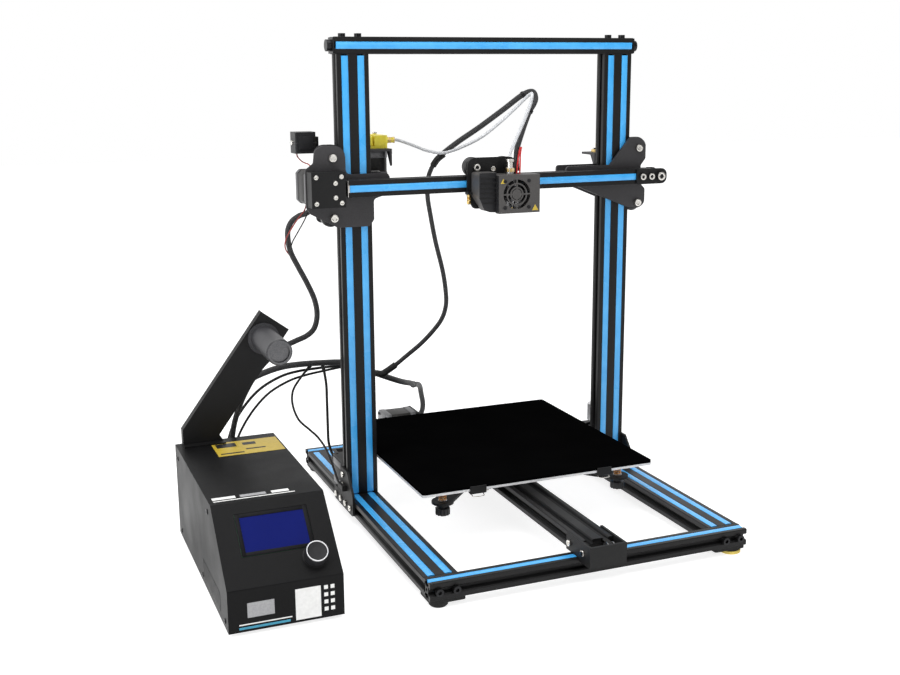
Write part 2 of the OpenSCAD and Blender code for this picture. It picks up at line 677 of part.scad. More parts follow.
// Outlines of the gantry plates, from the middle of the upright and the rail
module left_front_outline() polygon(rounded([
    [-46, 50.5, 14], [-14, 50.5, 14], [-14, 16, 6], [42, 16, 6], [42, -9, 6], [21, -15, 5],
    [21, -40, 4], [15, -48, 3], [-25, -48, 6], [-59, -30, 5], [-64, -22, 3], [-64, 23, 3],
    [-54, 30, 3], [-52, 44, 8]]));
module left_back_outline() polygon(rounded([
    [-46, 50.5, 12], [-14, 50.5, 12], [-4, 16, 6], [42, 16, 6], [42, -12, 6], [24, -16, 5],
    [21, -38, 4], [15, -44, 3], [-44, -44, 6], [-44, -27, 4], [-19, -24, 2], [-19, 24, 2],
    [-44, 27, 4]]));
module right_outline() polygon(rounded([
    [18, 50.5, 6], [32, 50.5, 14], [42, 43, 12], [42, 22, 3], [35, 13, 3], [35, -11, 3],
    [42, -18, 4], [42, -38, 9], [32, -44, 12], [14, -41, 4], [-58, -12, 4], [-76, -12, 2],
    [-76, 15, 4], [-12, 15, 3]]));

module axle_holes(s) {
    for (dz = [-wheel_rise, wheel_rise])
        translate([s * (outer_x - post_x), dz]) circle(r = axle_r + 0.1);
    translate([s * (inner_x - post_x), 0]) circle(r = axle_r + 0.1);
}

// Shelf behind a back plate, from its own height up by one plate
module nut_shelf(z, x0, x1, y1) {
    difference() {
        block([x0, back_y + plate_t - 0.5, z - plate_t], [x1, y1, z]);
        rod_z(0, screw_y, z - 9, z + 1, screw_r + 1.6);
        for (dx = [-8, 8]) rod_z(dx, screw_y, z - 9, z + 1, 1.6);
    }
    for (x = [x0, x1 - plate_t])
        translate([x, back_y + plate_t - 0.5, z - plate_t]) rotate([90, 0, 90]) linear_extrude(plate_t)
            polygon([[0, 1], [12, 1], [12, 0], [0, -18]]);
}

module gantry_plates() placed() color([0.2, 0.2, 0.21]) {
    translate([-post_x, 0, gantry_z]) {
        upright_plate(rail_back_y, plate_t) difference() {
            left_front_outline();
            axle_holes(-1);
            translate([xmotor_x + post_x, 0]) circle(r = pilot_r + 0.3);
        }
        upright_plate(back_y, plate_t) difference() {
            left_back_outline();
            axle_holes(-1);
        }
    }
    translate([post_x, 0, gantry_z]) {
        upright_plate(rail_back_y, plate_t) difference() {
            right_outline();
            axle_holes(1);
        }
        upright_plate(back_y, plate_t) difference() {
            right_outline();
            axle_holes(1);
        }
    }
    // Shelves for the lead nuts, the left one also for the feeder motor
    translate([-post_x, 0, 0]) difference() {
        nut_shelf(shelf_left, -22, 35 + motor_w / 2, feeder_y + motor_w / 2);
        translate([feeder_x + post_x, feeder_y, shelf_left - plate_t]) stepper_holes(plate_t);
    }
    translate([post_x, 0, 0]) nut_shelf(shelf_right, -18, 18, screw_y + 16);
    // Bridge from the left shelf down to the left back plate
    translate([-post_x, 0, 0])
        block([-14.5, back_y, gantry_z + 15], [-4, back_y + plate_t, shelf_left - 0.5]);
}

module gantry_motors() placed() color([0.13, 0.13, 0.14]) {
    translate([xmotor_x, front_y + fit, gantry_z]) rotate([90, 0, 0]) stepper(xmotor_l);
    translate([feeder_x, feeder_y, shelf_left - plate_t - fit]) stepper(feeder_l);
}

// Axle bolt of a gantry wheel: head, shank, two spacers and a nut
module gantry_axle(x, z) {
    rod_y(x, z, rail_back_y - 1, back_y + plate_t + 1, axle_r);
    rod_y(x, z, rail_back_y - fit - head_h, rail_back_y - fit, head_r);
    rod_y(x, z, front_y + fit, upright_y - wheel_w / 2 - side_gap, 4);
    rod_y(x, z, upright_y + wheel_w / 2 + side_gap, back_y - fit, 4);
    rod_y(x, z, back_y + plate_t + fit, back_y + plate_t + fit + 4, 4.6);
}

// The inner axles pass behind the X rail, so they have a flush head
module inner_axle(x) {
    rod_y(x, gantry_z, rail_back_y + 0.2, back_y + plate_t + 1, axle_r);
    rod_y(x, gantry_z, front_y + fit, upright_y - wheel_w / 2 - side_gap, 4);
    rod_y(x, gantry_z, upright_y + wheel_w / 2 + side_gap, back_y - fit, 4);
    rod_y(x, gantry_z, back_y + plate_t + fit, back_y + plate_t + fit + 4, 4.6);
}

// Brass nut sitting on a shelf round its lead screw
module lead_nut(z) translate([0, screw_y, z + fit]) difference() {
    union() {
        cylinder(r = 11, h = 3.5);
        cylinder(r = 5.1, h = 12);
        translate([0, 0, -plate_t - 6]) cylinder(r = 5.1, h = plate_t + 7);
    }
    translate([0, 0, -20]) cylinder(r = screw_r + 0.06, h = 60);
}

module gantry_fixings() placed() color([0.78, 0.78, 0.8]) {
    for (s = [-1, 1]) {
        for (dz = [-wheel_rise, wheel_rise]) gantry_axle(s * outer_x, gantry_z + dz);
        inner_axle(s * inner_x);
        translate([s * post_x, 0, 0]) lead_nut(s < 0 ? shelf_left : shelf_right);
    }
}

// Belt tensioner beyond the rail's right end, and the cover over the X motor's pulley
module rail_end_parts() placed() color([0.08, 0.08, 0.08]) {
    far = idler_x + half;
    cheek_y = rail_front_y - plate_t;
    for (y = [cheek_y - 2 * fit, rail_back_y + 0.2]) {
        near = y < rail_y ? frame_x - 4 : frame_x + 24;
        upright_plate(y, plate_t - 0.3) translate([0, gantry_z]) difference() {
            polygon(rounded([[near, -half, 2], [far, -half, 8], [far, half, 8], [near, half, 2]]));
            translate([idler_x, 0]) circle(r = axle_r + 0.1);
        }
    }
    rod_y(idler_x, gantry_z, cheek_y - 4, rail_back_y + 6, axle_r);
    rod_y(idler_x, gantry_z, cheek_y - 4, cheek_y - 0.2, 6);
    for (x = [frame_x + 4, frame_x + 17])
        rod_y(x, gantry_z, cheek_y - 3, cheek_y - 0.2, head_r);
    // Pulley cover: front wall with top, bottom and left walls
    w = motor_w / 2;
    difference() {
        block([xmotor_x - w, rail_front_y - 2.5, gantry_z - w], [xmotor_x + w, rail_back_y - fit, gantry_z + w]);
        block([xmotor_x - w + 2, rail_front_y, gantry_z - w + 2], [xmotor_x + w + 1, rail_back_y + 1, gantry_z + w - 2]);
    }
}

// Feeder block with its lever's pivot pin and the guide tube's fitting
module extruder_body() placed() color([0.9, 0.8, 0.1]) {
    z0 = shelf_left + fit;
    w = motor_w / 2;
    difference() {
        translate([feeder_x, feeder_y, z0]) slab(box_pts(-w, -w, w, w, 4), 16);
        translate([feeder_x, feeder_y, z0 - 1]) cylinder(r = pilot_r + 0.5, h = 30);
        block([feeder_x - w - 1, feeder_y - w - 1, z0 + 3], [feeder_x + 3, feeder_y - 6, z0 + 20]);
        rod_x(feeder_y + 6, feed_z, feeder_x - w - 1, feeder_x + w + 1, 1.2);
    }
    rod_z(lever_x, lever_y, z0 + 2, z0 + 15.5, pivot_r);
    // Push fitting where the guide tube leaves
    rod_x(feeder_y, feed_z, feeder_x + w - 1, feeder_x + w + 6, 4.5);
    rod_x(feeder_y, feed_z, feeder_x + w + 5, feeder_x + w + 15, 3.6);
}

// Toothed drive gear on the feeder motor's shaft
module extruder_gear() placed() color([0.8, 0.62, 0.25]) translate([feeder_x, feeder_y, 0]) {
    rod_z(0, 0, shelf_left - 18, shelf_left + 14, shaft_r);
    rotate_extrude() polygon([
        [0, shelf_left + 3], [6, shelf_left + 3], [6, feed_z - 1], [5.2, feed_z], [6, feed_z + 1],
        [6, shelf_left + 14], [0, shelf_left + 14]
    ]);
}

// Sprung lever that presses the filament on the drive gear
module extruder_lever() placed() color([0.85, 0.72, 0.1]) {
    front = feeder_y - motor_w / 2;
    translate([0, 0, shelf_left + 3.9]) difference() {
        linear_extrude(11) polygon(rounded([
            [lever_x - 13.5, front - 1, 3], [feeder_x + 1, front - 1, 3],
            [feeder_x + 1, feeder_y - 9.5, 3], [lever_x - 13.5, feeder_y - 9.5, 3]]));
        translate([lever_x, lever_y, -1]) cylinder(r = pivot_r + axle_gap, h = 20);
    }
}

module filament_sensor() placed() color([0.1, 0.1, 0.1]) {
    x = -frame_x - 41;
    difference() {
        translate([x, feeder_y, feed_z - 13]) slab(box_pts(0, -13, 26, 13, 2), 26);
        rod_x(feeder_y, feed_z, x - 1, x + 40, 1.3);
    }
    // Bracket from the sensor to the left shelf
    block([x + 25.5, feeder_y - 10, feed_z - 8], [x + 30, feeder_y + 10, feed_z + 7]);
    block([x + 25.5, feeder_y - 10, feed_z - 8], [-post_x - 22 - fit, feeder_y + 10, feed_z - 5]);
}

// ---- carriage and hotend ----

// Axle bolt of a carriage wheel with its spacer and nut
module carriage_axle(dx, s) {
    x = carriage_x + dx;
    z = gantry_z + s * (half + wheel_off);
    rod_y(x, z, car_y - plate_t - 1, rail_y + 9.2, axle_r);
    rod_y(x, z, car_y - plate_t - fit - 3, car_y - plate_t - fit, head_r);
    rod_y(x, z, car_y + fit, rail_y - wheel_w / 2 - side_gap, 4);
    rod_y(x, z, rail_y + wheel_w / 2 + side_gap, rail_y + 9.2, 4.2);
}

// Carriage plate with its belt clamp, axle bolts and switch trigger
module carriage_plate() placed() color([0.08, 0.08, 0.08]) {
    p = carriage_pitch / 2;
    up = half + wheel_off;
    upright_plate(car_y - plate_t, plate_t) translate([carriage_x, gantry_z]) difference() {
        polygon(rounded([
            [-p - 12, up + 12, 11], [p + 13, up + 12, 11], [p + 13, up - 14, 4],
            [p + 12, -up - 10, 6], [-p - 4, -up - 10, 6], [-p - 12, -up + 6, 4]]));
        for (s = [-1, 1]) translate([s * p, up]) circle(r = axle_r + 0.1);
        translate([0, -up]) circle(r = axle_r + 0.1);
    }
    // Clamp that holds the belt in the rail's upper slot
    cx = carriage_x;
    block([cx - 7, car_y - 0.5, gantry_z + half + 0.7], [cx + 7, rail_y + 2.4, gantry_z + half + 3.4]);
    block([cx - 7, rail_y - 2.4, gantry_z + belt_r + belt_t + 0.35],
          [cx + 7, rail_y + 2.4, gantry_z + half + 1.2]);
    carriage_axle(-carriage_pitch / 2, 1);
    carriage_axle(carriage_pitch / 2, 1);
    carriage_axle(0, -1);
    rod_z(cx - 33, car_y - 7, gantry_z - 24, gantry_z - 11, 2);
    block([cx - 36, car_y - 11, gantry_z - 12], [cx - 30, car_y - plate_t + 0.5, gantry_z - 9]);
}

// Folded cover over the hotend with its front fan grille
module hotend_shroud() placed() color([0.25, 0.25, 0.26]) {
    wall = 1.5;
    x0 = hot_x - 24;
    x1 = hot_x + 31;
    z0 = gantry_z - 34;
    z1 = gantry_z + 12.5;
    yb = car_y - plate_t - 3.5;
    difference() {
        union() {
            block([x0, shroud_y, z0], [x1, yb, z1]);
            upright_plate(shroud_y + 9, yb - shroud_y - 9) polygon(rounded([
                [x0 - 22, z1 + 3, 3], [x0 + 0.5, z1 + 3, 0], [x0 + 0.5, z0 + 1, 0],
                [x0 - 10, z0 + 2, 5], [x0 - 22, z0 + 20, 6]]));
        }
        block([x0 + wall, shroud_y + wall, z0 - 1], [x1 - wall, yb + 1, z1 - wall]);
        upright_plate(shroud_y + 9 + wall, yb - shroud_y) polygon(rounded([
            [x0 - 22 + wall, z1 + 3 - wall, 2], [x0 + 2, z1 + 3 - wall, 0], [x0 + 2, z0 - 1, 0],
            [x0 - 8, z0 + 2 + wall, 4], [x0 - 22 + wall, z0 + 21, 4]]));
        rod_y(fan_x, fan_z, shroud_y - 1, shroud_y + wall + 1, fan_d / 2);
        rod_z(hot_x, hot_y, z1 - 5, z1 + 5, 6.5);
        block([hot_x + 7, hot_y - 3, z1 - 5], [hot_x + 15, hot_y + 12, z1 + 5]);
    }
    // Grille: rings joined by four spokes
    for (r = [8, 13]) upright_plate(shroud_y, wall) translate([fan_x, fan_z]) difference() {
        circle(r = r + 0.9);
        circle(r = r - 0.9);
    }
    for (a = [0, 90]) translate([fan_x, 0, fan_z]) rotate([0, a, 0])
        block([-fan_d / 2 - 0.5, shroud_y, -0.9], [fan_d / 2 + 0.5, shroud_y + wall, 0.9]);
    rod_y(fan_x, fan_z, shroud_y, shroud_y + wall, 6.2);
    // Fan frame and the stub that the rotor turns on
    difference() {
        block([fan_x - 20, shroud_y + wall - 0.2, fan_z - 20], [fan_x + 20, shroud_y + 11.5, fan_z + 20]);
        rod_y(fan_x, fan_z, shroud_y, shroud_y + 13, fan_d / 2 + 0.6);
    }
    rod_y(fan_x, fan_z, shroud_y + wall - 0.2, shroud_y + 8, 1.5);
}

module fan_rotor() placed() color([0.05, 0.05, 0.05])
    translate([fan_x, rotor_y - 3.2, fan_z]) rotate([-90, 0, 0]) difference() {
        union() {
            cylinder(r = 7.5, h = 7);
            for (a = [0:360 / 7:350]) rotate(a) translate([5, -0.5, 0.6]) rotate([35, 0, 0])
                cube([11.8, 1.1, 6]);
        }
        translate([0, 0, -1]) cylinder(r = 1.5 + axle_gap, h = 7);
    }

module hotend() placed() color([0.75, 0.75, 0.77]) translate([hot_x, hot_y, 0]) {
    top = gantry_z + 14;
    difference() {
        rotate_extrude() polygon([
            [0, nozzle_z + 19], [2.2, nozzle_z + 19], [2.2, gantry_z - 14], [11, gantry_z - 14],
            [11, gantry_z - 12.4], [4.5, gantry_z - 12.4], [4.5, gantry_z - 10], [11, gantry_z - 10],
            [11, gantry_z - 8.4], [4.5, gantry_z - 8.4], [4.5, gantry_z - 6], [11, gantry_z - 6],
            [11, gantry_z - 4.4], [4.5, gantry_z - 4.4], [4.5, gantry_z - 2], [11, gantry_z - 2],
            [11, gantry_z - 0.4], [4.5, gantry_z - 0.4], [4.5, gantry_z + 2], [8, gantry_z + 2],
            [8, gantry_z + 8], [4.8, gantry_z + 8], [4.8, top + 6], [3.6, top + 6.5],
            [3.6, top + 13], [5, top + 13.5], [5, top + 16], [0, top + 16]
        ]);
        translate([0, 0, top + 6]) cylinder(r = 2.1, h = 20);
    }
    // Heater block and nozzle
    block([-8, -9, nozzle_z + 7.5], [12, 10, nozzle_z + 19.1]);
    rotate_extrude() polygon([[0, nozzle_z], [0.7, nozzle_z], [3, nozzle_z + 3], [3.9, nozzle_z + 3],
        [3.9, nozzle_z + 8], [0, nozzle_z + 8]]);
}

// ---- control box and spool arm ----

// Side view of the box, drawn with depth along X and height along Y
function box_side(g) = [
    [g, g, 2], [box_d - g, g, 2], [box_d - g, box_h - g, 2],
    [box_slope_d + g * 0.4, box_h - g, 2], [g, box_front_h - g * 0.4, 2]];

module box_prism(g, x0, x1)
    translate([box_x + x0, box_y, box_foot]) rotate([90, 0, 90]) linear_extrude(x1 - x0)
        polygon(rounded(box_side(g), 4));

// Frame of the sloping panel: origin at its lower left corner, Z out of the box
module on_slope() translate([box_x, box_y, box_foot + box_front_h]) rotate([slope_deg, 0, 0]) children();

// Tray: floor, rear and low sides, on four rubber feet
module control_box_base() placed() color([0.1, 0.1, 0.11]) {
    difference() {
        box_prism(box_wall, box_wall, box_w - box_wall);
        box_prism(2 * box_wall, 2 * box_wall, box_w - 2 * box_wall);
        block([box_x - 1, box_y + 30, box_foot + 30], [box_x + box_w + 1, box_y + box_d - 8, box_top + 5]);
        block([box_x - 1, box_y - 1, box_foot + 30], [box_x + box_w + 1, box_y + 45, box_top + 5]);
    }
    for (x = gland_x) rod_y(x, gland_z, box_y + box_d - 2 * box_wall, box_y + box_d, 7);
    for (x = [14, box_w - 14], y = [16, box_d - 16])
        rod_z(box_x + x, box_y + y, 0, box_foot + box_wall + 0.4, 7);
}

// Folded cover: front, slope, top and sides
module control_box_cover() placed() color([0.16, 0.16, 0.17]) {
    difference() {
        box_prism(0, 0, box_w);
        box_prism(box_wall - fit, box_wall - fit, box_w - box_wall + fit);
        block([box_x - 1, box_y + box_d - box_wall, 0], [box_x + box_w + 1, box_y + box_d + 1, 200]);
        block([box_x - 1, box_y - 1, 0], [box_x + box_w + 1, box_y + box_d + 1, box_foot + box_wall + 0.02]);
        on_slope() translate([0, 0, -8]) {
            block([lcd_x - lcd_w / 2, lcd_s, 0], [lcd_x + lcd_w / 2, lcd_s + lcd_l, 20]);
            translate([knob_x, knob_s, 0]) cylinder(r = encoder_r + 0.6, h = 20);
        }
    }
}

module control_knob() placed() color([0.12, 0.12, 0.12]) on_slope()
    translate([knob_x, knob_s, 0.5]) difference() {
        rotate_extrude($fn = 64) polygon([
            [0, 0], [knob_r, 0], [knob_r, 1.5], [knob_r - 1, 2.5], [knob_r - 1, 11],
            [knob_r - 2, 12.5], [0, 12.5]]);
        translate([0, 0, -1]) cylinder(r = encoder_r + axle_gap, h = 12.2);
        translate([-1, knob_r - 4, 11.6]) cube([2, 3, 2]);
    }

// Display with its rotary encoder, power supply, and the main board on its standoffs
module control_electronics() placed() color([0.05, 0.08, 0.4]) {
    x = box_x + 3 * box_wall;
    z = box_foot + 2 * box_wall + 0.1;
    on_slope() {
        block([lcd_x - lcd_w / 2 + 0.3, lcd_s + 0.3, -9],
              [lcd_x + lcd_w / 2 - 0.3, lcd_s + lcd_l - 0.3, -0.4]);
        block([lcd_x - 52, knob_s - 10, -10.6], [lcd_x + 52, lcd_s + lcd_l + 3, -8.9]);
        translate([knob_x, knob_s, -9.5]) cylinder(r = 6, h = 7);
        translate([knob_x, knob_s, -9.5]) cylinder(r = encoder_r, h = 21);
    }
    block([x + 2, box_y + 62, z], [box_x + box_w - 3 * box_wall - 6, box_y + box_d - 60, z + 50]);
    translate([0, 0, z + 56]) block([x + 6, box_y + 92, 0], [x + 100, box_y + 204, 1.6]);
    for (dx = [14, 92], dy = [100, 196]) rod_z(x + dx, box_y + dy, z + 49.9, z + 56.1, 2.5);
    for (dx = [20:16:84]) block([x + dx, box_y + 120, z + 57.5], [x + dx + 9, box_y + 129, z + 68]);
    block([x + 30, box_y + 150, z + 57.5], [x + 58, box_y + 178, z + 61]);
}

// Bent sheet arm: foot on the box's top, short riser, leaning part, rear lip
module spool_arm() placed() color([0.08, 0.08, 0.08]) {
    s = sin(arm_lean);
    c = cos(arm_lean);
    a = [arm_x, box_top + arm_rise];
    b = a + arm_l * [s, c];
    d = b + arm_w * [c, -s];
    k = [arm_x + arm_w + 8, box_top + fit];
    e = d - (arm_l - 18) * [s, c];
    difference() {
        upright_plate(arm_y, arm_t) polygon([
            [arm_x, box_top + fit], k, e, d, b, a]);
        rod_y(peg_x, peg_z, arm_y - 1, arm_y + arm_t + 1, 4.2);
    }
    block([arm_x, arm_y - 10, box_top + fit], [arm_x + arm_w + 8, arm_y + arm_t, box_top + fit + arm_t]);
    // Stiffening lip along the left edge
    upright_plate(arm_y, 12) polygon([
        a, b, b + arm_t * [c, -s], a + arm_t * [1, -0.3], [arm_x + arm_t, box_top + fit],
        [arm_x, box_top + fit]]);
}

module spool_peg() placed() color([0.2, 0.2, 0.21]) {
    r = peg_d / 2;
    y1 = arm_y - fit;
    translate([peg_x, y1, peg_z]) rotate([90, 0, 0]) rotate_extrude() polygon([
        [0, -fit - arm_t - 5], [7, -fit - arm_t - 5], [7, -fit - arm_t - fit], [4, -fit - arm_t - fit],
        [4, 0], [r + 4, 0], [r + 4, 3], [r, 4], [r, peg_l - 2], [r - 1.5, peg_l],
        [r - 3.5, peg_l], [r - 3.5, peg_l - 3], [0, peg_l - 3]
    ]);
}

// ---- cords ----

// Smooth curve through the route's points
function curve_at(p, i, t) =
    let (n = len(p), a = p[max(0, i - 1)], b = p[i], c = p[min(n - 1, i + 1)], d = p[min(n - 1, i + 2)])
    0.5 * (2 * b + (c - a) * t + (2 * a - 5 * b + 4 * c - d) * t * t + (3 * b - a - 3 * c + d) * t * t * t);
function cord_line(p, k) =
    [for (i = [0:len(p) - 2], j = [0:k - 1]) curve_at(p, i, j / k), p[len(p) - 1]];
function tangent(q, i) = unit(q[min(len(q) - 1, i + 1)] - q[max(0, i - 1)]);

// Tube swept along a route, with m sides and k rings to each stretch
module cord(p, r, k, m) {
    q = cord_line(p, k);
    n = len(q);
    pts = [for (i = [0:n - 1], j = [0:m - 1])
        let (t = tangent(q, i), u = unit(cross(t, [0.31, 0.9, 0.3])), v = cross(t, u))
        q[i] + r * (cos(j * 360 / m) * u + sin(j * 360 / m) * v)];
    faces = concat(
        [[for (j = [0:m - 1]) j]],
        [for (i = [0:n - 2], j = [0:m - 1])
            [i * m + j, (i + 1) * m + j, (i + 1) * m + (j + 1) % m, i * m + (j + 1) % m]],
        [[for (j = [m - 1:-1:0]) (n - 1) * m + j]]);
    polyhedron(pts, faces);
}

module bowden_tube() placed() color([0.92, 0.92, 0.9]) cord(bowden_path, 2, 3, 8);
module hotend_loom() placed() color([0.05, 0.05, 0.05]) cord(hotend_path, 3.5, 2, 8);
module riser_loom() placed() color([0.05, 0.05, 0.05]) cord(riser_path, 3, 2, 8);
module gantry_loom() placed() color([0.05, 0.05, 0.05]) cord(gantry_path, 3.5, 2, 8);
module trunk_loom() placed() color([0.05, 0.05, 0.05]) {
    cord(trunk_path, 4, 2, 8);
    cord(motor_lead_path, 1.8, 2, 8);
    cord(switch_lead_path, 1.5, 2, 8);
}

base_rails();
portal_rails();
slot_covers();
frame_fixings();
corner_feet();
motor_brackets();
frame_motors();
y_belt();
control_box_base();
control_box_cover();
control_electronics();
control_knob();
spool_arm();
spool_peg();
trunk_loom();
lead_screw_left();
lead_screw_right();
y_drive_pulley();
y_idler_pulley();
y_plate();
heated_bed();
build_plate();
bed_fixings();
y_wheel_front_left();
y_wheel_front_right();
y_wheel_rear_left();
y_wheel_rear_right();
level_wheel_front_left();
level_wheel_front_right();
level_wheel_rear_left();
level_wheel_rear_right();
x_rail();
gantry_plates();
gantry_motors();
gantry_fixings();
rail_end_parts();
extruder_body();
extruder_gear();
extruder_lever();
filament_sensor();
x_belt();
x_drive_pulley();
x_idler_pulley();
z_wheel_left_upper();
z_wheel_left_lower();
z_wheel_left_inner();
z_wheel_right_upper();
z_wheel_right_lower();
z_wheel_right_inner();
carriage_plate();
hotend_shroud();
hotend();
fan_rotor();
x_wheel_upper_left();
x_wheel_upper_right();
x_wheel_lower();
bowden_tube();
hotend_loom();
riser_loom();
gantry_loom();
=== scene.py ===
import math

import bmesh
import bpy
from mathutils import Matrix, Vector


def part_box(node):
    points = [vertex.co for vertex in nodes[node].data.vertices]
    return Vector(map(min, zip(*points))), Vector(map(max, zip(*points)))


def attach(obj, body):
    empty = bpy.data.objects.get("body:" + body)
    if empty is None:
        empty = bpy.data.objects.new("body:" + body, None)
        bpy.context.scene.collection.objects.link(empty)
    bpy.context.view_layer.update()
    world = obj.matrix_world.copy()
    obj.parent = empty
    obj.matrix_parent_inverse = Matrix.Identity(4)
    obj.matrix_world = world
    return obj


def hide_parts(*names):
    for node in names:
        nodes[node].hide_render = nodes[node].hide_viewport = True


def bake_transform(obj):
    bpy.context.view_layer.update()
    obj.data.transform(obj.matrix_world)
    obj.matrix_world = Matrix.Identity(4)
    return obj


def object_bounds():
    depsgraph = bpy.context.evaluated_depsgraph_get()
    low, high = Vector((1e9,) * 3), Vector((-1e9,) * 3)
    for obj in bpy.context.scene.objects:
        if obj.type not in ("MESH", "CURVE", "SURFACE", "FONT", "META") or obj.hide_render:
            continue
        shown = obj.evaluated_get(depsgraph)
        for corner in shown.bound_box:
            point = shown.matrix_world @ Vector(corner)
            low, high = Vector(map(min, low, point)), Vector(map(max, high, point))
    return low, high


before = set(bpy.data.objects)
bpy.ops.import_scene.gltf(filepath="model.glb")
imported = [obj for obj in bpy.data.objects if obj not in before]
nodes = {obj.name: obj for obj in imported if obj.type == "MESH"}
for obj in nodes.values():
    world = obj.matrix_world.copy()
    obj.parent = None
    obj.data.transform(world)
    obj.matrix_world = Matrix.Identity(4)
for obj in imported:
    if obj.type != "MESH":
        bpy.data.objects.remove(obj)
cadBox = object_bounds()

railLow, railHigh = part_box("base_rails")
midX = (railLow.x + railHigh.x) / 2
frontY = railLow.y


def at(x, y, z):
    # millimetres from the floor under the frame's front middle, to the row's metres
    return Vector((midX + x / 1000, frontY + y / 1000, z / 1000))


# camera

camera = {"place": (-603.8, -1061.4, 550.5), "turn": 21.6, "dip": 12.406, "roll": -0.4875,
          "lens": 46.36, "shift": (0.0086, -0.0043)}


def placeCamera():
    data = bpy.data.cameras.new("camera")
    data.lens = camera["lens"]
    data.sensor_width = 36
    data.shift_x, data.shift_y = camera["shift"]
    data.clip_start = 0.01
    holder = bpy.data.objects.new("camera", data)
    bpy.context.scene.collection.objects.link(holder)
    holder.matrix_world = (Matrix.Translation(at(*camera["place"]))
                           @ Matrix.Rotation(math.radians(-camera["turn"]), 4, "Z")
                           @ Matrix.Rotation(math.radians(90 - camera["dip"]), 4, "X")
                           @ Matrix.Rotation(math.radians(camera["roll"]), 4, "Z"))
    bpy.context.scene.camera = holder
    bpy.context.view_layer.update()


placeCamera()
print("camera placed")

# materials

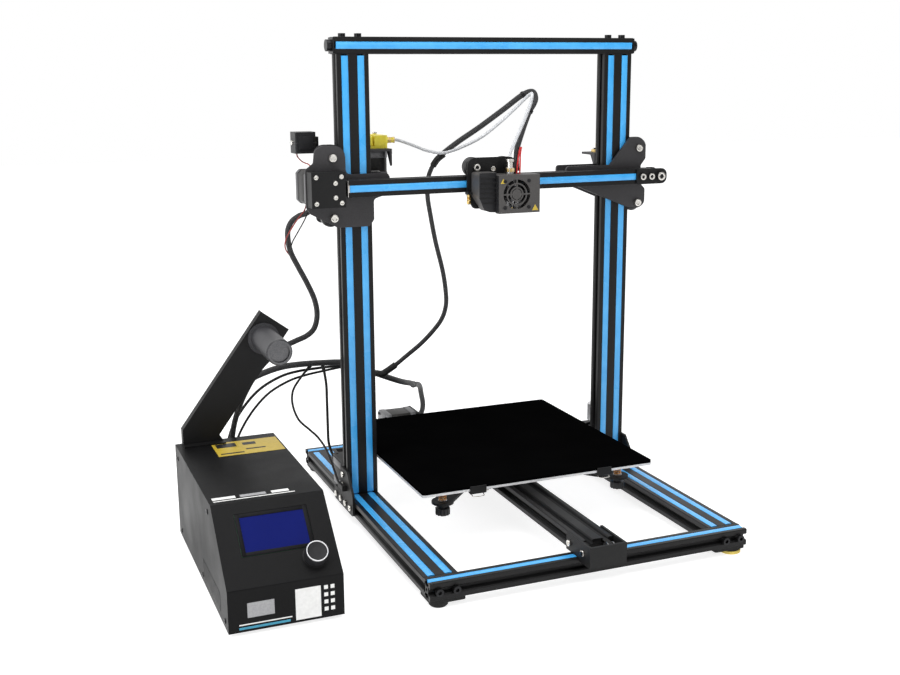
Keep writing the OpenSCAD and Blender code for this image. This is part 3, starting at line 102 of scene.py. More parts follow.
# tone and tone2 are the two colours that the grain mixes, grain is its scale, bump its depth
finishes = {
    "blackAnodised": {"tone": (0.005, 0.005, 0.0052), "tone2": (0.013, 0.0125, 0.013), "rough": (0.34, 0.5),
                      "metal": 0.35, "grain": 700, "bump": 0.10, "specular": 0.3},
    "blueTrim": {"tone": (0.040, 0.36, 0.80), "tone2": (0.075, 0.45, 0.90), "rough": (0.22, 0.34),
                 "grain": 60, "bump": 0.04, "coat": 0.2},
    "blackCoat": {"tone": (0.004, 0.004, 0.0042), "tone2": (0.01, 0.01, 0.0105), "rough": (0.42, 0.6),
                  "grain": 1400, "bump": 0.22, "specular": 0.25},
    "greyPlate": {"tone": (0.032, 0.031, 0.033), "tone2": (0.052, 0.050, 0.053), "rough": (0.4, 0.55),
                  "metal": 0.2, "grain": 1200, "bump": 0.15, "specular": 0.35},
    "boxCoat": {"tone": (0.0045, 0.0045, 0.0048), "tone2": (0.009, 0.009, 0.0095), "rough": (0.38, 0.52),
                "grain": 1600, "bump": 0.25, "specular": 0.1},
    "shroudCoat": {"tone": (0.045, 0.042, 0.041), "tone2": (0.072, 0.068, 0.066), "rough": (0.42, 0.58),
                   "metal": 0.15, "grain": 1200, "bump": 0.2},
    "blackScrew": {"tone": (0.012, 0.012, 0.013), "tone2": (0.03, 0.03, 0.032), "rough": (0.25, 0.4),
                   "metal": 0.8, "grain": 900, "bump": 0.05},
    "zinc": {"tone": (0.62, 0.60, 0.56), "tone2": (0.80, 0.78, 0.74), "rough": (0.18, 0.32),
             "metal": 1.0, "grain": 800, "bump": 0.05},
    "steel": {"tone": (0.42, 0.42, 0.43), "tone2": (0.58, 0.58, 0.59), "rough": (0.25, 0.4),
              "metal": 1.0, "grain": 500, "stretch": (1, 1, 8), "bump": 0.06},
    "alloy": {"tone": (0.55, 0.55, 0.56), "tone2": (0.72, 0.72, 0.73), "rough": (0.3, 0.45),
              "metal": 1.0, "grain": 500, "bump": 0.08},
    "bedAlloy": {"tone": (0.66, 0.66, 0.67), "tone2": (0.80, 0.80, 0.81), "rough": (0.4, 0.55),
                 "metal": 0.4, "grain": 500, "bump": 0.08},
    "screenBlack": {"tone": (0.004, 0.004, 0.005), "tone2": (0.009, 0.009, 0.010), "rough": (0.4, 0.5),
                    "grain": 600, "bump": 0.03, "specular": 0.08},
    "pegPlastic": {"tone": (0.016, 0.016, 0.019), "tone2": (0.026, 0.026, 0.030), "rough": (0.4, 0.55),
                   "grain": 700, "bump": 0.1},
    "bareCut": {"tone": (0.55, 0.53, 0.50), "tone2": (0.7, 0.68, 0.65), "rough": (0.35, 0.5),
                "metal": 0.9, "grain": 900, "bump": 0.12},
    "motorCore": {"tone": (0.008, 0.008, 0.008), "tone2": (0.03, 0.028, 0.026), "rough": (0.4, 0.6),
                  "metal": 0.3, "grain": 400, "bump": 0.05, "specular": 0.3},
    "motorCap": {"tone": (0.10, 0.10, 0.105), "tone2": (0.17, 0.17, 0.175), "rough": (0.35, 0.5),
                 "metal": 0.9, "grain": 700, "bump": 0.12},
    "brass": {"tone": (0.72, 0.50, 0.18), "tone2": (0.86, 0.64, 0.28), "rough": (0.2, 0.34),
              "metal": 1.0, "grain": 600, "bump": 0.05},
    "copper": {"tone": (0.60, 0.27, 0.09), "tone2": (0.78, 0.40, 0.16), "rough": (0.22, 0.36),
               "metal": 0.9, "grain": 700, "bump": 0.05},
    "rubber": {"tone": (0.010, 0.010, 0.010), "tone2": (0.022, 0.022, 0.022), "rough": (0.6, 0.8),
               "grain": 900, "bump": 0.2, "specular": 0.2},
    "footPad": {"tone": (0.62, 0.47, 0.08), "tone2": (0.75, 0.58, 0.14), "rough": (0.6, 0.75),
                "grain": 500, "bump": 0.2},
    "wheelPlastic": {"tone": (0.014, 0.014, 0.015), "tone2": (0.026, 0.026, 0.027), "rough": (0.3, 0.42),
                     "grain": 400, "bump": 0.05, "specular": 0.3},
    "bedGlass": {"tone": (0.0012, 0.0012, 0.0013), "tone2": (0.0022, 0.0022, 0.0023), "rough": (0.45, 0.55),
                 "grain": 2500, "bump": 0.06, "specular": 0.0},
    "yellowPlastic": {"tone": (0.80, 0.66, 0.02), "tone2": (0.90, 0.78, 0.06), "rough": (0.28, 0.4),
                      "grain": 500, "bump": 0.08, "coat": 0.2},
    "redPlastic": {"tone": (0.35, 0.02, 0.01), "tone2": (0.5, 0.04, 0.02), "rough": (0.3, 0.45),
                   "grain": 500, "bump": 0.05},
    "blackSheath": {"tone": (0.008, 0.008, 0.008), "tone2": (0.016, 0.016, 0.016), "rough": (0.35, 0.5),
                    "grain": 500, "bump": 0.05, "specular": 0.3},
    "darkRedWire": {"tone": (0.20, 0.012, 0.008), "tone2": (0.30, 0.02, 0.012), "rough": (0.3, 0.42),
                    "grain": 500, "bump": 0.04},
    "redWire": {"tone": (0.62, 0.01, 0.015), "tone2": (0.80, 0.03, 0.03), "rough": (0.3, 0.42),
                "grain": 500, "bump": 0.04},
    "blackPlastic": {"tone": (0.012, 0.012, 0.013), "tone2": (0.022, 0.022, 0.024), "rough": (0.3, 0.44),
                     "grain": 1100, "bump": 0.12, "specular": 0.16},
    "whitePlastic": {"tone": (0.70, 0.70, 0.68), "tone2": (0.82, 0.82, 0.80), "rough": (0.35, 0.5),
                     "grain": 500, "bump": 0.04},
    "guideTube": {"tone": (0.50, 0.51, 0.53), "tone2": (0.62, 0.63, 0.65), "rough": (0.25, 0.35),
                  "grain": 200, "bump": 0.02, "coat": 0.3},
    "screenBlue": {"tone": (0.004, 0.0085, 0.105), "tone2": (0.005, 0.010, 0.12), "rough": (0.12, 0.2),
                   "grain": 30, "bump": 0.0, "coat": 0.04, "specular": 0.0},
    "boardGreen": {"tone": (0.01, 0.10, 0.04), "tone2": (0.02, 0.16, 0.06), "rough": (0.35, 0.5),
                   "grain": 700, "bump": 0.1},
    "labelYellow": {"tone": (0.48, 0.34, 0.03), "tone2": (0.56, 0.41, 0.045), "rough": (0.35, 0.5),
                    "grain": 300, "bump": 0.03},
    "labelWhite": {"tone": (0.74, 0.74, 0.73), "tone2": (0.84, 0.84, 0.83), "rough": (0.4, 0.55),
                   "grain": 300, "bump": 0.03},
    "labelGrey": {"tone": (0.30, 0.30, 0.31), "tone2": (0.40, 0.40, 0.41), "rough": (0.4, 0.55),
                  "grain": 600, "bump": 0.03},
    "labelTeal": {"tone": (0.02, 0.24, 0.38), "tone2": (0.04, 0.32, 0.46), "rough": (0.35, 0.5),
                  "grain": 300, "bump": 0.03},
}


def link(material, start, finish):
    material.node_tree.links.new(start, finish)


def added(tree, kind, values):
    node = tree.new(kind)
    for socket, value in values.items():
        node.inputs[socket].default_value = value
    return node


def makeFinish(name, look):
    material = bpy.data.materials.new(name)
    material.use_nodes = True
    tree = material.node_tree.nodes
    shader = tree["Principled BSDF"]
    shader.inputs["Metallic"].default_value = look.get("metal", 0.0)
    shader.inputs["Specular IOR Level"].default_value = look.get("specular", 0.5)
    shader.inputs["Coat Weight"].default_value = look.get("coat", 0.0)
    coords = tree.new("ShaderNodeTexCoord")
    mapping = added(tree, "ShaderNodeMapping", {"Scale": look.get("stretch", (1, 1, 1))})
    link(material, coords.outputs["Object"], mapping.inputs["Vector"])
    fine = added(tree, "ShaderNodeTexNoise", {"Scale": look["grain"], "Detail": 4})
    broad = added(tree, "ShaderNodeTexNoise", {"Scale": 14, "Detail": 3})      # slow patches of handling
    for noise in (fine, broad):
        link(material, mapping.outputs["Vector"], noise.inputs["Vector"])
    blend = added(tree, "ShaderNodeMix", {"Factor": 0.45})
    link(material, fine.outputs["Fac"], blend.inputs["A"])
    link(material, broad.outputs["Fac"], blend.inputs["B"])
    ramp = tree.new("ShaderNodeValToRGB")
    for stop, position, tone in zip(ramp.color_ramp.elements, (0.35, 0.65), (look["tone"], look["tone2"])):
        stop.position = position
        stop.color = (*tone, 1)
    link(material, blend.outputs["Result"], ramp.inputs["Fac"])
    link(material, ramp.outputs["Color"], shader.inputs["Base Color"])
    smooth, dull = look["rough"]
    gloss = added(tree, "ShaderNodeMapRange", {"From Min": 0.3, "From Max": 0.7, "To Min": smooth,
                                               "To Max": dull})
    link(material, broad.outputs["Fac"], gloss.inputs["Value"])
    link(material, gloss.outputs["Result"], shader.inputs["Roughness"])
    relief = added(tree, "ShaderNodeBump", {"Strength": look["bump"], "Distance": 0.0003})
    link(material, fine.outputs["Fac"], relief.inputs["Height"])
    link(material, relief.outputs["Normal"], shader.inputs["Normal"])
    return material


paint = {name: makeFinish(name, look) for name, look in finishes.items()}


# woven sleeve: two diagonal sets of threads on the tube's own UV map
weaving = {"tone": (0.006, 0.006, 0.007), "tone2": (0.035, 0.035, 0.037), "turns": 7.0, "pitch": 0.9}


def makeSleeve():
    material = bpy.data.materials.new("wovenSleeve")
    material.use_nodes = True
    tree = material.node_tree.nodes
    shader = tree["Principled BSDF"]
    shader.inputs["Roughness"].default_value = 0.55
    uv = tree.new("ShaderNodeUVMap")
    uv.uv_map = "sleeve"
    heights = []
    for lean in (-1, 1):
        mapping = added(tree, "ShaderNodeMapping", {"Rotation": (0, 0, lean * math.radians(45)),
                                                    "Scale": (weaving["turns"], weaving["turns"], 1)})
        wave = added(tree, "ShaderNodeTexWave", {"Scale": weaving["pitch"]})
        link(material, uv.outputs["UV"], mapping.inputs["Vector"])
        link(material, mapping.outputs["Vector"], wave.inputs["Vector"])
        heights.append(wave.outputs["Fac"])
    weave = tree.new("ShaderNodeMath")
    weave.operation = "MAXIMUM"
    link(material, heights[0], weave.inputs[0])
    link(material, heights[1], weave.inputs[1])
    ramp = tree.new("ShaderNodeValToRGB")
    for stop, tone in zip(ramp.color_ramp.elements, (weaving["tone"], weaving["tone2"])):
        stop.color = (*tone, 1)
    link(material, weave.outputs["Value"], ramp.inputs["Fac"])
    link(material, ramp.outputs["Color"], shader.inputs["Base Color"])
    relief = added(tree, "ShaderNodeBump", {"Strength": 0.6, "Distance": 0.0005})
    link(material, weave.outputs["Value"], relief.inputs["Height"])
    link(material, relief.outputs["Normal"], shader.inputs["Normal"])
    return material


paint["wovenSleeve"] = makeSleeve()
print("materials made:", len(paint))

# modelling helpers


def only(piece):
    bpy.ops.object.select_all(action="DESELECT")
    piece.select_set(True)
    bpy.context.view_layer.objects.active = piece


def settle(piece):
    only(piece)
    bpy.ops.object.transform_apply(location=True, rotation=True, scale=True)


def bevelled(piece, size, segments=2, angle=30):
    only(piece)
    edge = piece.modifiers.new("edge", "BEVEL")
    edge.width = size / 1000
    edge.segments = segments
    edge.limit_method = "ANGLE"
    edge.angle_limit = math.radians(angle)
    bpy.ops.object.modifier_apply(modifier=edge.name)
    bpy.ops.object.shade_smooth_by_angle(angle=math.radians(35))


def cleaned(piece):
    only(piece)
    bpy.ops.object.mode_set(mode="EDIT")
    bpy.ops.mesh.select_all(action="SELECT")
    bpy.ops.mesh.remove_doubles(threshold=0.000005)
    bpy.ops.mesh.normals_make_consistent(inside=False)
    bpy.ops.object.mode_set(mode="OBJECT")


def tinted(piece, finish):
    piece.data.materials.clear()
    piece.data.materials.append(paint[finish])
    return piece


def dressed(piece, finish):
    tinted(piece, finish)
    return piece


def fit(piece, body, finish, *stands):
    # gives a finished piece its look and the body that it rides on
    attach(dressed(piece, finish), body)
    if stands:
        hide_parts(*stands)
    return piece


def inPlace(x, y, z):
    return Vector((x, y, z)) / 1000


def block(name, low, high, soft=0.4, segments=2, place=at):
    low, high = place(*low), place(*high)
    bpy.ops.object.select_all(action="DESELECT")
    bpy.ops.mesh.primitive_cube_add(size=1, location=(low + high) / 2)
    piece = bpy.context.object
    piece.name = name
    piece.scale = high - low
    settle(piece)
    bevelled(piece, soft, segments)
    return piece


def turned(name, centre, axis, steps, sides=32, smooth=35, hollow=False):
    # steps are (radius, distance along the axis) in mm; a hollow piece's last step joins its first
    bpy.ops.object.select_all(action="DESELECT")
    radius, along = steps[0]
    bpy.ops.mesh.primitive_circle_add(vertices=sides, radius=radius / 1000, fill_type="NGON",
                                      location=(0, 0, 0))
    piece = bpy.context.object
    piece.name = name
    bpy.ops.object.mode_set(mode="EDIT")
    bpy.ops.mesh.select_all(action="SELECT")
    bpy.ops.transform.translate(value=(0, 0, along / 1000))
    for nextRadius, nextAlong in steps[1:]:
        bpy.ops.mesh.extrude_region_move(
            TRANSFORM_OT_translate={"value": (0, 0, (nextAlong - along) / 1000)})
        ratio = nextRadius / radius
        bpy.ops.transform.resize(value=(ratio, ratio, 1), center_override=(0, 0, 0))
        radius, along = nextRadius, nextAlong
    if hollow:
        mesh = bmesh.from_edit_mesh(piece.data)
        bmesh.ops.delete(mesh, geom=[f for f in mesh.faces if len(f.verts) == sides], context="FACES_ONLY")
        bmesh.update_edit_mesh(piece.data)
        bpy.ops.mesh.select_all(action="DESELECT")
        bpy.ops.mesh.select_mode(type="EDGE")
        bpy.ops.mesh.select_non_manifold(extend=False)
        bpy.ops.mesh.bridge_edge_loops()
    bpy.ops.object.mode_set(mode="OBJECT")
    cleaned(piece)
    turn = Vector((0, 0, 1)).rotation_difference(Vector(axis).normalized())
    piece.data.transform(Matrix.Translation(at(*centre)) @ turn.to_matrix().to_4x4())
    bpy.ops.object.shade_smooth_by_angle(angle=math.radians(smooth))
    return piece


facings = {"front": lambda u, v, depth: at(u, depth, v),      # an outline in X and Z
           "side": lambda u, v, depth: at(depth, u, v),       # in Y and Z
           "top": lambda u, v, depth: at(u, v, depth)}        # in X and Y


def plate(name, outline, facing, start, end, soft=0.3):
    bpy.ops.object.select_all(action="DESELECT")
    bpy.ops.mesh.primitive_circle_add(vertices=len(outline), fill_type="NGON", location=(0, 0, 0))
    piece = bpy.context.object
    piece.name = name
    for vertex, (u, v) in zip(piece.data.vertices, outline):
        vertex.co = facings[facing](u, v, start)
    bpy.ops.object.mode_set(mode="EDIT")
    bpy.ops.mesh.select_all(action="SELECT")
    bpy.ops.mesh.extrude_region_move(
        TRANSFORM_OT_translate={"value": facings[facing](0, 0, end) - facings[facing](0, 0, start)})
    bpy.ops.object.mode_set(mode="OBJECT")
    cleaned(piece)
    if soft:
        bevelled(piece, soft, 2)
    else:
        bpy.ops.object.shade_smooth_by_angle(angle=math.radians(35))
    return piece


def copied(piece, name, move=None):
    other = piece.copy()
    other.data = piece.data.copy()
    other.name = name
    bpy.context.scene.collection.objects.link(other)
    if move:
        other.data.transform(move)
    return other


def joined(name, parts):
    bpy.ops.object.select_all(action="DESELECT")
    for part in parts:
        part.select_set(True)
    bpy.context.view_layer.objects.active = parts[0]
    bpy.ops.object.join()
    parts[0].name = name
    return parts[0]


# socket head screw along +Z, made once at the origin: head above z = 0
screw = {"radius": 4.5, "height": 4.0, "socket": 2.4, "deep": 2.2, "sides": 24}


def makeScrew():
    bpy.ops.object.select_all(action="DESELECT")
    bpy.ops.mesh.primitive_cylinder_add(vertices=screw["sides"], radius=screw["radius"] / 1000,
                                        depth=screw["height"] / 1000,
                                        location=(0, 0, screw["height"] / 2000))
    piece = bpy.context.object
    settle(piece)
    top = screw["height"] / 1000
    bpy.ops.object.mode_set(mode="EDIT")
    bpy.ops.mesh.select_mode(type="FACE")
    bpy.ops.mesh.select_all(action="DESELECT")
    mesh = bmesh.from_edit_mesh(piece.data)
    for face in mesh.faces:
        face.select_set(face.calc_center_median().z > top - 1e-5)
    bmesh.update_edit_mesh(piece.data)
    bpy.ops.mesh.inset(thickness=(screw["radius"] - screw["socket"]) / 1000)
    mesh = bmesh.from_edit_mesh(piece.data)
    for vertex in mesh.verts:
        if vertex.select:                          # the inner ring becomes a hexagon
            angle = math.atan2(vertex.co.y, vertex.co.x) % math.radians(60)
            reach = screw["socket"] / 1000 * math.cos(math.radians(30)) / math.cos(angle - math.radians(30))
            flat = Vector((vertex.co.x, vertex.co.y, 0)).normalized() * reach
            vertex.co.x, vertex.co.y = flat.x, flat.y
    bmesh.update_edit_mesh(piece.data)
    bpy.ops.mesh.extrude_region_move(TRANSFORM_OT_translate={"value": (0, 0, -screw["deep"] / 1000)})
    bpy.ops.object.mode_set(mode="OBJECT")
    bevelled(piece, 0.35, 2, 50)
    return piece


screwModel = makeScrew()


def screwAt(name, centre, axis, body, finish="zinc", size=1.0, flat=1.0):
    turn = Vector((0, 0, 1)).rotation_difference(Vector(axis).normalized()).to_matrix().to_4x4()
    scale = Matrix.Diagonal((size, size, size * flat, 1))
    return fit(copied(screwModel, name, Matrix.Translation(at(*centre)) @ turn @ scale), body, finish)


# cords

cords = {
    "guideTube": {
        "route": [
            (-108.6, 350, 474.7), (-102, 350, 474), (-84, 343, 467), (-70, 335, 461), (-54, 326, 458),
            (-38, 318, 462), (-11, 300, 477), (10, 284, 497), (25, 272, 514), (32, 263, 524),
            (36, 256, 530), (37, 250, 531), (33, 246, 520), (24, 245, 500), (12, 244, 476),
            (5, 243, 462), (4, 243, 457)],
        "radius": 2.0, "node": "bowden_tube", "finish": "guideTube", "stiffness": "stiff",
        "ends": ("x_carriage", "z_gantry"), "from": (30, 250, 500), "to": (-100, 350, 470)},
    "hotendLoom": {
        "route": [
            (16, 249, 438), (16, 250, 446), (18, 253, 463), (25, 256, 481), (38, 261, 508),
            (47, 265, 519), (51, 269, 526), (50, 273, 533), (44, 277, 533), (34, 281, 527),
            (18, 290, 513), (-9, 307, 490), (-30, 322, 473), (-46, 332, 459), (-54, 337, 450)],
        "radius": 3.5, "node": "hotend_loom", "finish": "wovenSleeve", "stiffness": "medium",
        "ends": ("x_carriage", "z_gantry"), "from": (44, 270, 500), "to": (-52, 336, 455)},
    "riserLoom": {
        "route": [
            (-56.5, 338.5, 447), (-62, 341, 437), (-66, 342, 424), (-67, 342, 402), (-63, 342, 376),
            (-57, 341, 343), (-47, 342, 304), (-42, 344, 276), (-41, 346, 256), (-46, 348, 238),
            (-56, 353, 222), (-71, 362, 203), (-87, 373, 186), (-102, 382, 171), (-112, 386, 163)],
        "radius": 3.0, "node": "riser_loom", "finish": "wovenSleeve", "stiffness": "medium",
        "ends": ("z_gantry", "root"), "from": (-60, 342, 440), "to": (-60, 342, 190)},
    "gantryLoom": {
        "route": [
            (-228, 322, 401.5), (-228, 323, 396), (-232, 328, 390), (-241, 334, 386), (-250, 338, 378),
            (-254, 341, 364), (-251, 342, 342), (-242, 342, 322), (-231, 342, 300), (-222, 342, 278),
            (-219, 343, 258), (-223, 344, 241), (-233, 344, 232), (-248, 342, 227), (-266, 339, 221),
            (-283, 335, 211), (-299, 332, 197), (-312, 330, 180), (-324, 330, 158),
            (-333, 332, 132), (-337, 334, 108), (-337, 333, 93), (-336, 328, 85), (-335, 323, 83),
            (-335, 318.8, 83)],
        "radius": 3.5, "node": "gantry_loom", "finish": "wovenSleeve", "stiffness": "medium",
        "ends": ("z_gantry", "root"), "from": (-230, 330, 392), "to": (-230, 330, 240)},
    "trunkLoom": {
        "route": [
            (-356, 319.2, 83), (-356, 326, 84), (-357, 334, 90), (-357, 339, 103), (-354, 342, 125),
            (-344, 345, 147), (-329, 350, 163), (-309, 356, 177), (-287, 362, 184), (-262, 368, 188),
            (-237, 373, 188), (-209, 378, 186), (-173, 383, 182), (-149, 385, 172), (-122, 388, 159),
            (-87, 405, 142), (-58, 442, 127), (-38, 482, 113), (-18, 520, 102), (-4, 549, 90),
            (5, 567, 72), (10, 574, 54), (9, 578, 40), (1, 581, 30), (-12, 583, 26), (-26, 582, 28),
            (-38, 576, 33), (-45, 567, 38), (-47, 559, 40), (-47, 553.4, 40)],
        "radius": 4.0, "node": "trunk_loom", "finish": "wovenSleeve", "stiffness": "medium",
        "ends": ("root", "root")},
    "motorLead": {
        "route": [
            (-203, 378.5, 179.2), (-200, 378, 156), (-200, 377, 131), (-201, 373, 101), (-202, 367, 78),
            (-197, 364, 60), (-191, 361, 51), (-190, 356.3, 50)],
        "radius": 1.8, "node": "trunk_loom", "finish": "blackSheath", "stiffness": "limp",
        "ends": ("root", "root")},
    "switchLead": {
        "route": [
            (-224, 375.5, 181), (-233, 375, 172), (-246, 374, 154), (-248, 372, 135), (-241, 370, 114),
            (-227, 368, 99), (-217, 363, 88), (-210, 350, 74), (-207.3, 330, 56), (-206.3, 315, 43.5),
            (-206.2, 306.4, 41.5)],
        "radius": 1.5, "node": "trunk_loom", "finish": "blackSheath", "stiffness": "limp",
        "ends": ("root", "root")},
    "motorWireRed": {
        "route": [(-234, 322, 401.6), (-238, 318, 394), (-247, 317, 384), (-254, 322, 372), (-259, 331, 358),
                  (-258, 339, 346), (-251, 346, 336)],
        "radius": 0.8, "finish": "darkRedWire", "stiffness": "limp", "ends": ("z_gantry", "root"),
        "from": (-230, 330, 392), "to": (-230, 330, 240)},
    "motorWireBlack": {
        "route": [(-231, 319, 401.6), (-234, 315, 393), (-240, 313, 382), (-247, 318, 368), (-252, 328, 354),
                  (-252, 335, 343), (-247, 346.5, 330)],
        "radius": 0.8, "finish": "blackSheath", "stiffness": "limp", "ends": ("z_gantry", "root"),
        "from": (-230, 330, 392), "to": (-230, 330, 240)},
    "sensorWire": {
        "route": [(-236, 352, 461.8), (-235, 351, 457), (-231, 347, 452), (-228, 341, 450),
                  (-227, 334, 449.5), (-226, 328, 447.5), (-225, 325, 444.6)],
        "radius": 0.8, "finish": "darkRedWire", "stiffness": "limp", "ends": ("z_gantry", "z_gantry")},
    "strandUpper": {
        "route": [(-346, 318.4, 70), (-346, 326, 72), (-344, 338, 82), (-340, 346, 102), (-330, 353, 124),
                  (-312, 360, 146), (-290, 367, 163), (-262, 374, 174), (-237, 379, 177.5),
                  (-209, 384.5, 177.5), (-185, 388, 177), (-173, 388.5, 177.5)],
        "radius": 1.8, "finish": "blackSheath", "stiffness": "limp", "ends": ("root", "root")},
    "strandLower": {
        "route": [(-340, 318.4, 64), (-339, 328, 66), (-336, 341, 76), (-330, 350, 96), (-318, 357, 117),
                  (-300, 364, 138), (-278, 371, 155), (-250, 378, 166), (-225, 384, 170), (-200, 390, 171.5),
                  (-176, 391, 174)],
        "radius": 1.6, "finish": "blackSheath", "stiffness": "limp", "ends": ("root", "root")},
    "heaterWireLeft": {
        "route": [(14.2, 244.7, 434.6), (14.6, 244.9, 440), (15.8, 245.6, 448), (18.2, 247.6, 458),
                  (21.2, 249.6, 467)],
        "radius": 1.0, "finish": "redWire", "stiffness": "limp", "ends": ("x_carriage", "x_carriage")},
    "heaterWireRight": {
        "route": [(18.2, 245.1, 434.6), (19.1, 245.9, 440), (20.2, 247.8, 448), (21.9, 250.9, 458),
                  (24, 252.6, 467)],
        "radius": 1.0, "finish": "redWire", "stiffness": "limp", "ends": ("x_carriage", "x_carriage")},
}


def smoothRoute(route, steps=8):
    # a smooth curve through every point of the route
    points = [at(*p) for p in route]
    line = []
    for i in range(len(points) - 1):
        a, b = points[max(0, i - 1)], points[i]
        c, d = points[i + 1], points[min(len(points) - 1, i + 2)]
        for k in range(steps):
            t = k / steps
            line.append(0.5 * (2 * b + (c - a) * t + (2 * a - 5 * b + 4 * c - d) * t ** 2
                               + (3 * b - a - 3 * c + d) * t ** 3))
    return line + [points[-1]]


def tube(name, line, radius, around=14):
    # rings of points along the line, with a UV map that runs along and round it
    mesh = bpy.data.meshes.new(name)
    made = bmesh.new()
    uvMap = made.loops.layers.uv.new("sleeve")
    side = Vector((0.31, 0.9, 0.3))
    rings, distance, travelled = [], [], 0.0
    for i, point in enumerate(line):
        heading = (line[min(i + 1, len(line) - 1)] - line[max(i - 1, 0)]).normalized()
        side = (side - heading * side.dot(heading)).normalized()
        up = heading.cross(side)
        if i:
            travelled += (point - line[i - 1]).length
        distance.append(travelled / radius)
        turns = [2 * math.pi * j / around for j in range(around)]
        rings.append([made.verts.new(point + radius * (math.cos(a) * side + math.sin(a) * up))
                      for a in turns])
    for i in range(len(line) - 1):
        for j in range(around):
            k = (j + 1) % around
            face = made.faces.new((rings[i][j], rings[i][k], rings[i + 1][k], rings[i + 1][j]))
            face.smooth = True
            across = [j / around, (j + 1) / around, (j + 1) / around, j / around]
            along = [distance[i], distance[i], distance[i + 1], distance[i + 1]]
            for loop, u, v in zip(face.loops, across, along):
                loop[uvMap].uv = (u * 2 * math.pi, v)
    made.faces.new(rings[0][::-1])
    made.faces.new(rings[-1])
    bmesh.ops.recalc_face_normals(made, faces=made.faces)
    made.to_mesh(mesh)
    made.free()
    piece = bpy.data.objects.new(name, mesh)
    bpy.context.scene.collection.objects.link(piece)
    return piece


def follow(piece, cord):
    # rides on one body; a cord that joins two bodies is left where it is, on neither
    first, second = cord["ends"]
    if first == second:
        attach(piece, first)
    else:
        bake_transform(piece)


for cordName, cord in cords.items():
    line = smoothRoute(cord["route"])
    piece = dressed(tube(cordName, line, cord["radius"] / 1000), cord["finish"])
    follow(piece, cord)
    if "node" in cord:
        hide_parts(cord["node"])

# heat-shrunk sleeves where one lead joins the next
sleeves = {
    "loomJoint": {"route": [(-47.5, 333, 456), (-54.5, 337.3, 449.6), (-60, 340, 441)], "radius": 4.3,
                  "body": "z_gantry"},
    "riserJoint": {"route": [(-101, 381.5, 172), (-112, 386, 163.5), (-119, 387.5, 160),
                             (-127, 387.5, 161.5)], "radius": 4.5, "body": "root"},
    "motorLeadJoint": {"route": [(-207, 378, 186.5), (-204, 378.4, 182), (-202.7, 378.5, 176)], "radius": 2.4,
                       "body": "root"},
    "switchLeadJoint": {"route": [(-217, 376.8, 187), (-222, 376, 183), (-228, 375.2, 177.5)], "radius": 2.1,
                        "body": "root"},
}
for sleeveName, sleeve in sleeves.items():
    piece = tube(sleeveName, smoothRoute(sleeve["route"]), sleeve["radius"] / 1000)
    fit(piece, sleeve["body"], "blackSheath")

# cable ties where the looms are gathered
ties = {"spots": [("hotendLoom", 0.30), ("hotendLoom", 0.62), ("hotendLoom", 0.97), ("trunkLoom", 0.12),
                  ("trunkLoom", 0.47), ("trunkLoom", 0.58)], "width": 3.2, "proud": 0.9, "grip": 0.3}


def tieRound(name, share, cord):
    line, inner = smoothRoute(cord["route"]), cord["radius"] - ties["grip"]
    i = max(1, min(len(line) - 2, int(share * (len(line) - 1))))
    heading = (line[i + 1] - line[i - 1]).normalized()
    spot = (line[i] - at(0, 0, 0)) * 1000
    outer, half = cord["radius"] + ties["proud"], ties["width"] / 2
    band = turned(name, tuple(spot), heading,
                  [(inner, -half), (outer, -half), (outer, half), (inner, half)], 24, hollow=True)
    follow(dressed(band, "blackPlastic"), cord)


for number, (cordName, share) in enumerate(ties["spots"]):
    tieRound(f"cableTie{number}", share, cords[cordName])
print("cords and ties done")

# CAD nodes keep their shape and get their look

looks = {
    "blackAnodised": ["base_rails", "portal_rails", "x_rail"],
    "blueTrim": ["slot_covers"],
    "blackCoat": ["motor_brackets", "y_plate", "spool_arm", "carriage_plate", "rail_end_parts"],
    "greyPlate": ["gantry_plates"],
    "boxCoat": ["control_box_base", "control_box_cover"],
    "shroudCoat": ["hotend_shroud"],
    "blackScrew": ["frame_fixings"],
    "steel": ["lead_screw_left", "lead_screw_right", "y_drive_pulley", "y_idler_pulley", "x_drive_pulley",
              "x_idler_pulley"],
    "alloy": ["hotend"],
    "bedAlloy": ["heated_bed"],
    "pegPlastic": ["spool_peg"],
    "rubber": ["y_belt", "x_belt", "corner_feet"],
    "bedGlass": ["build_plate"],
    "yellowPlastic": ["extruder_body", "extruder_lever"],
    "brass": ["extruder_gear"],
    "blackPlastic": ["filament_sensor", "fan_rotor", "control_knob"],
    "boardGreen": ["control_electronics"],
    "wheelPlastic": [n for n in nodes if "_wheel_" in n],
}
for finish, names in looks.items():
    for nodeName in names:
        nodes[nodeName].data.materials.clear()
        nodes[nodeName].data.materials.append(paint[finish])

# small round edges on the sheet parts, as live modifiers on the CAD's own shapes
softEdges = {"gantry_plates": 0.35, "control_box_cover": 0.5, "spool_arm": 0.3, "hotend_shroud": 0.3,
             "motor_brackets": 0.3, "heated_bed": 0.4, "build_plate": 0.5, "filament_sensor": 0.6,
             "extruder_body": 0.5, "extruder_lever": 0.6, "rail_end_parts": 0.4}
for nodeName, size in softEdges.items():
    weld = nodes[nodeName].modifiers.new("weld", "WELD")
    weld.merge_threshold = 0.00001
    edge = nodes[nodeName].modifiers.new("edge", "BEVEL")
    edge.width = size / 1000
    edge.segments = 2
    edge.limit_method = "ANGLE"
    edge.angle_limit = math.radians(40)
    edge.harden_normals = False
print("CAD nodes dressed")

# blue slot trim

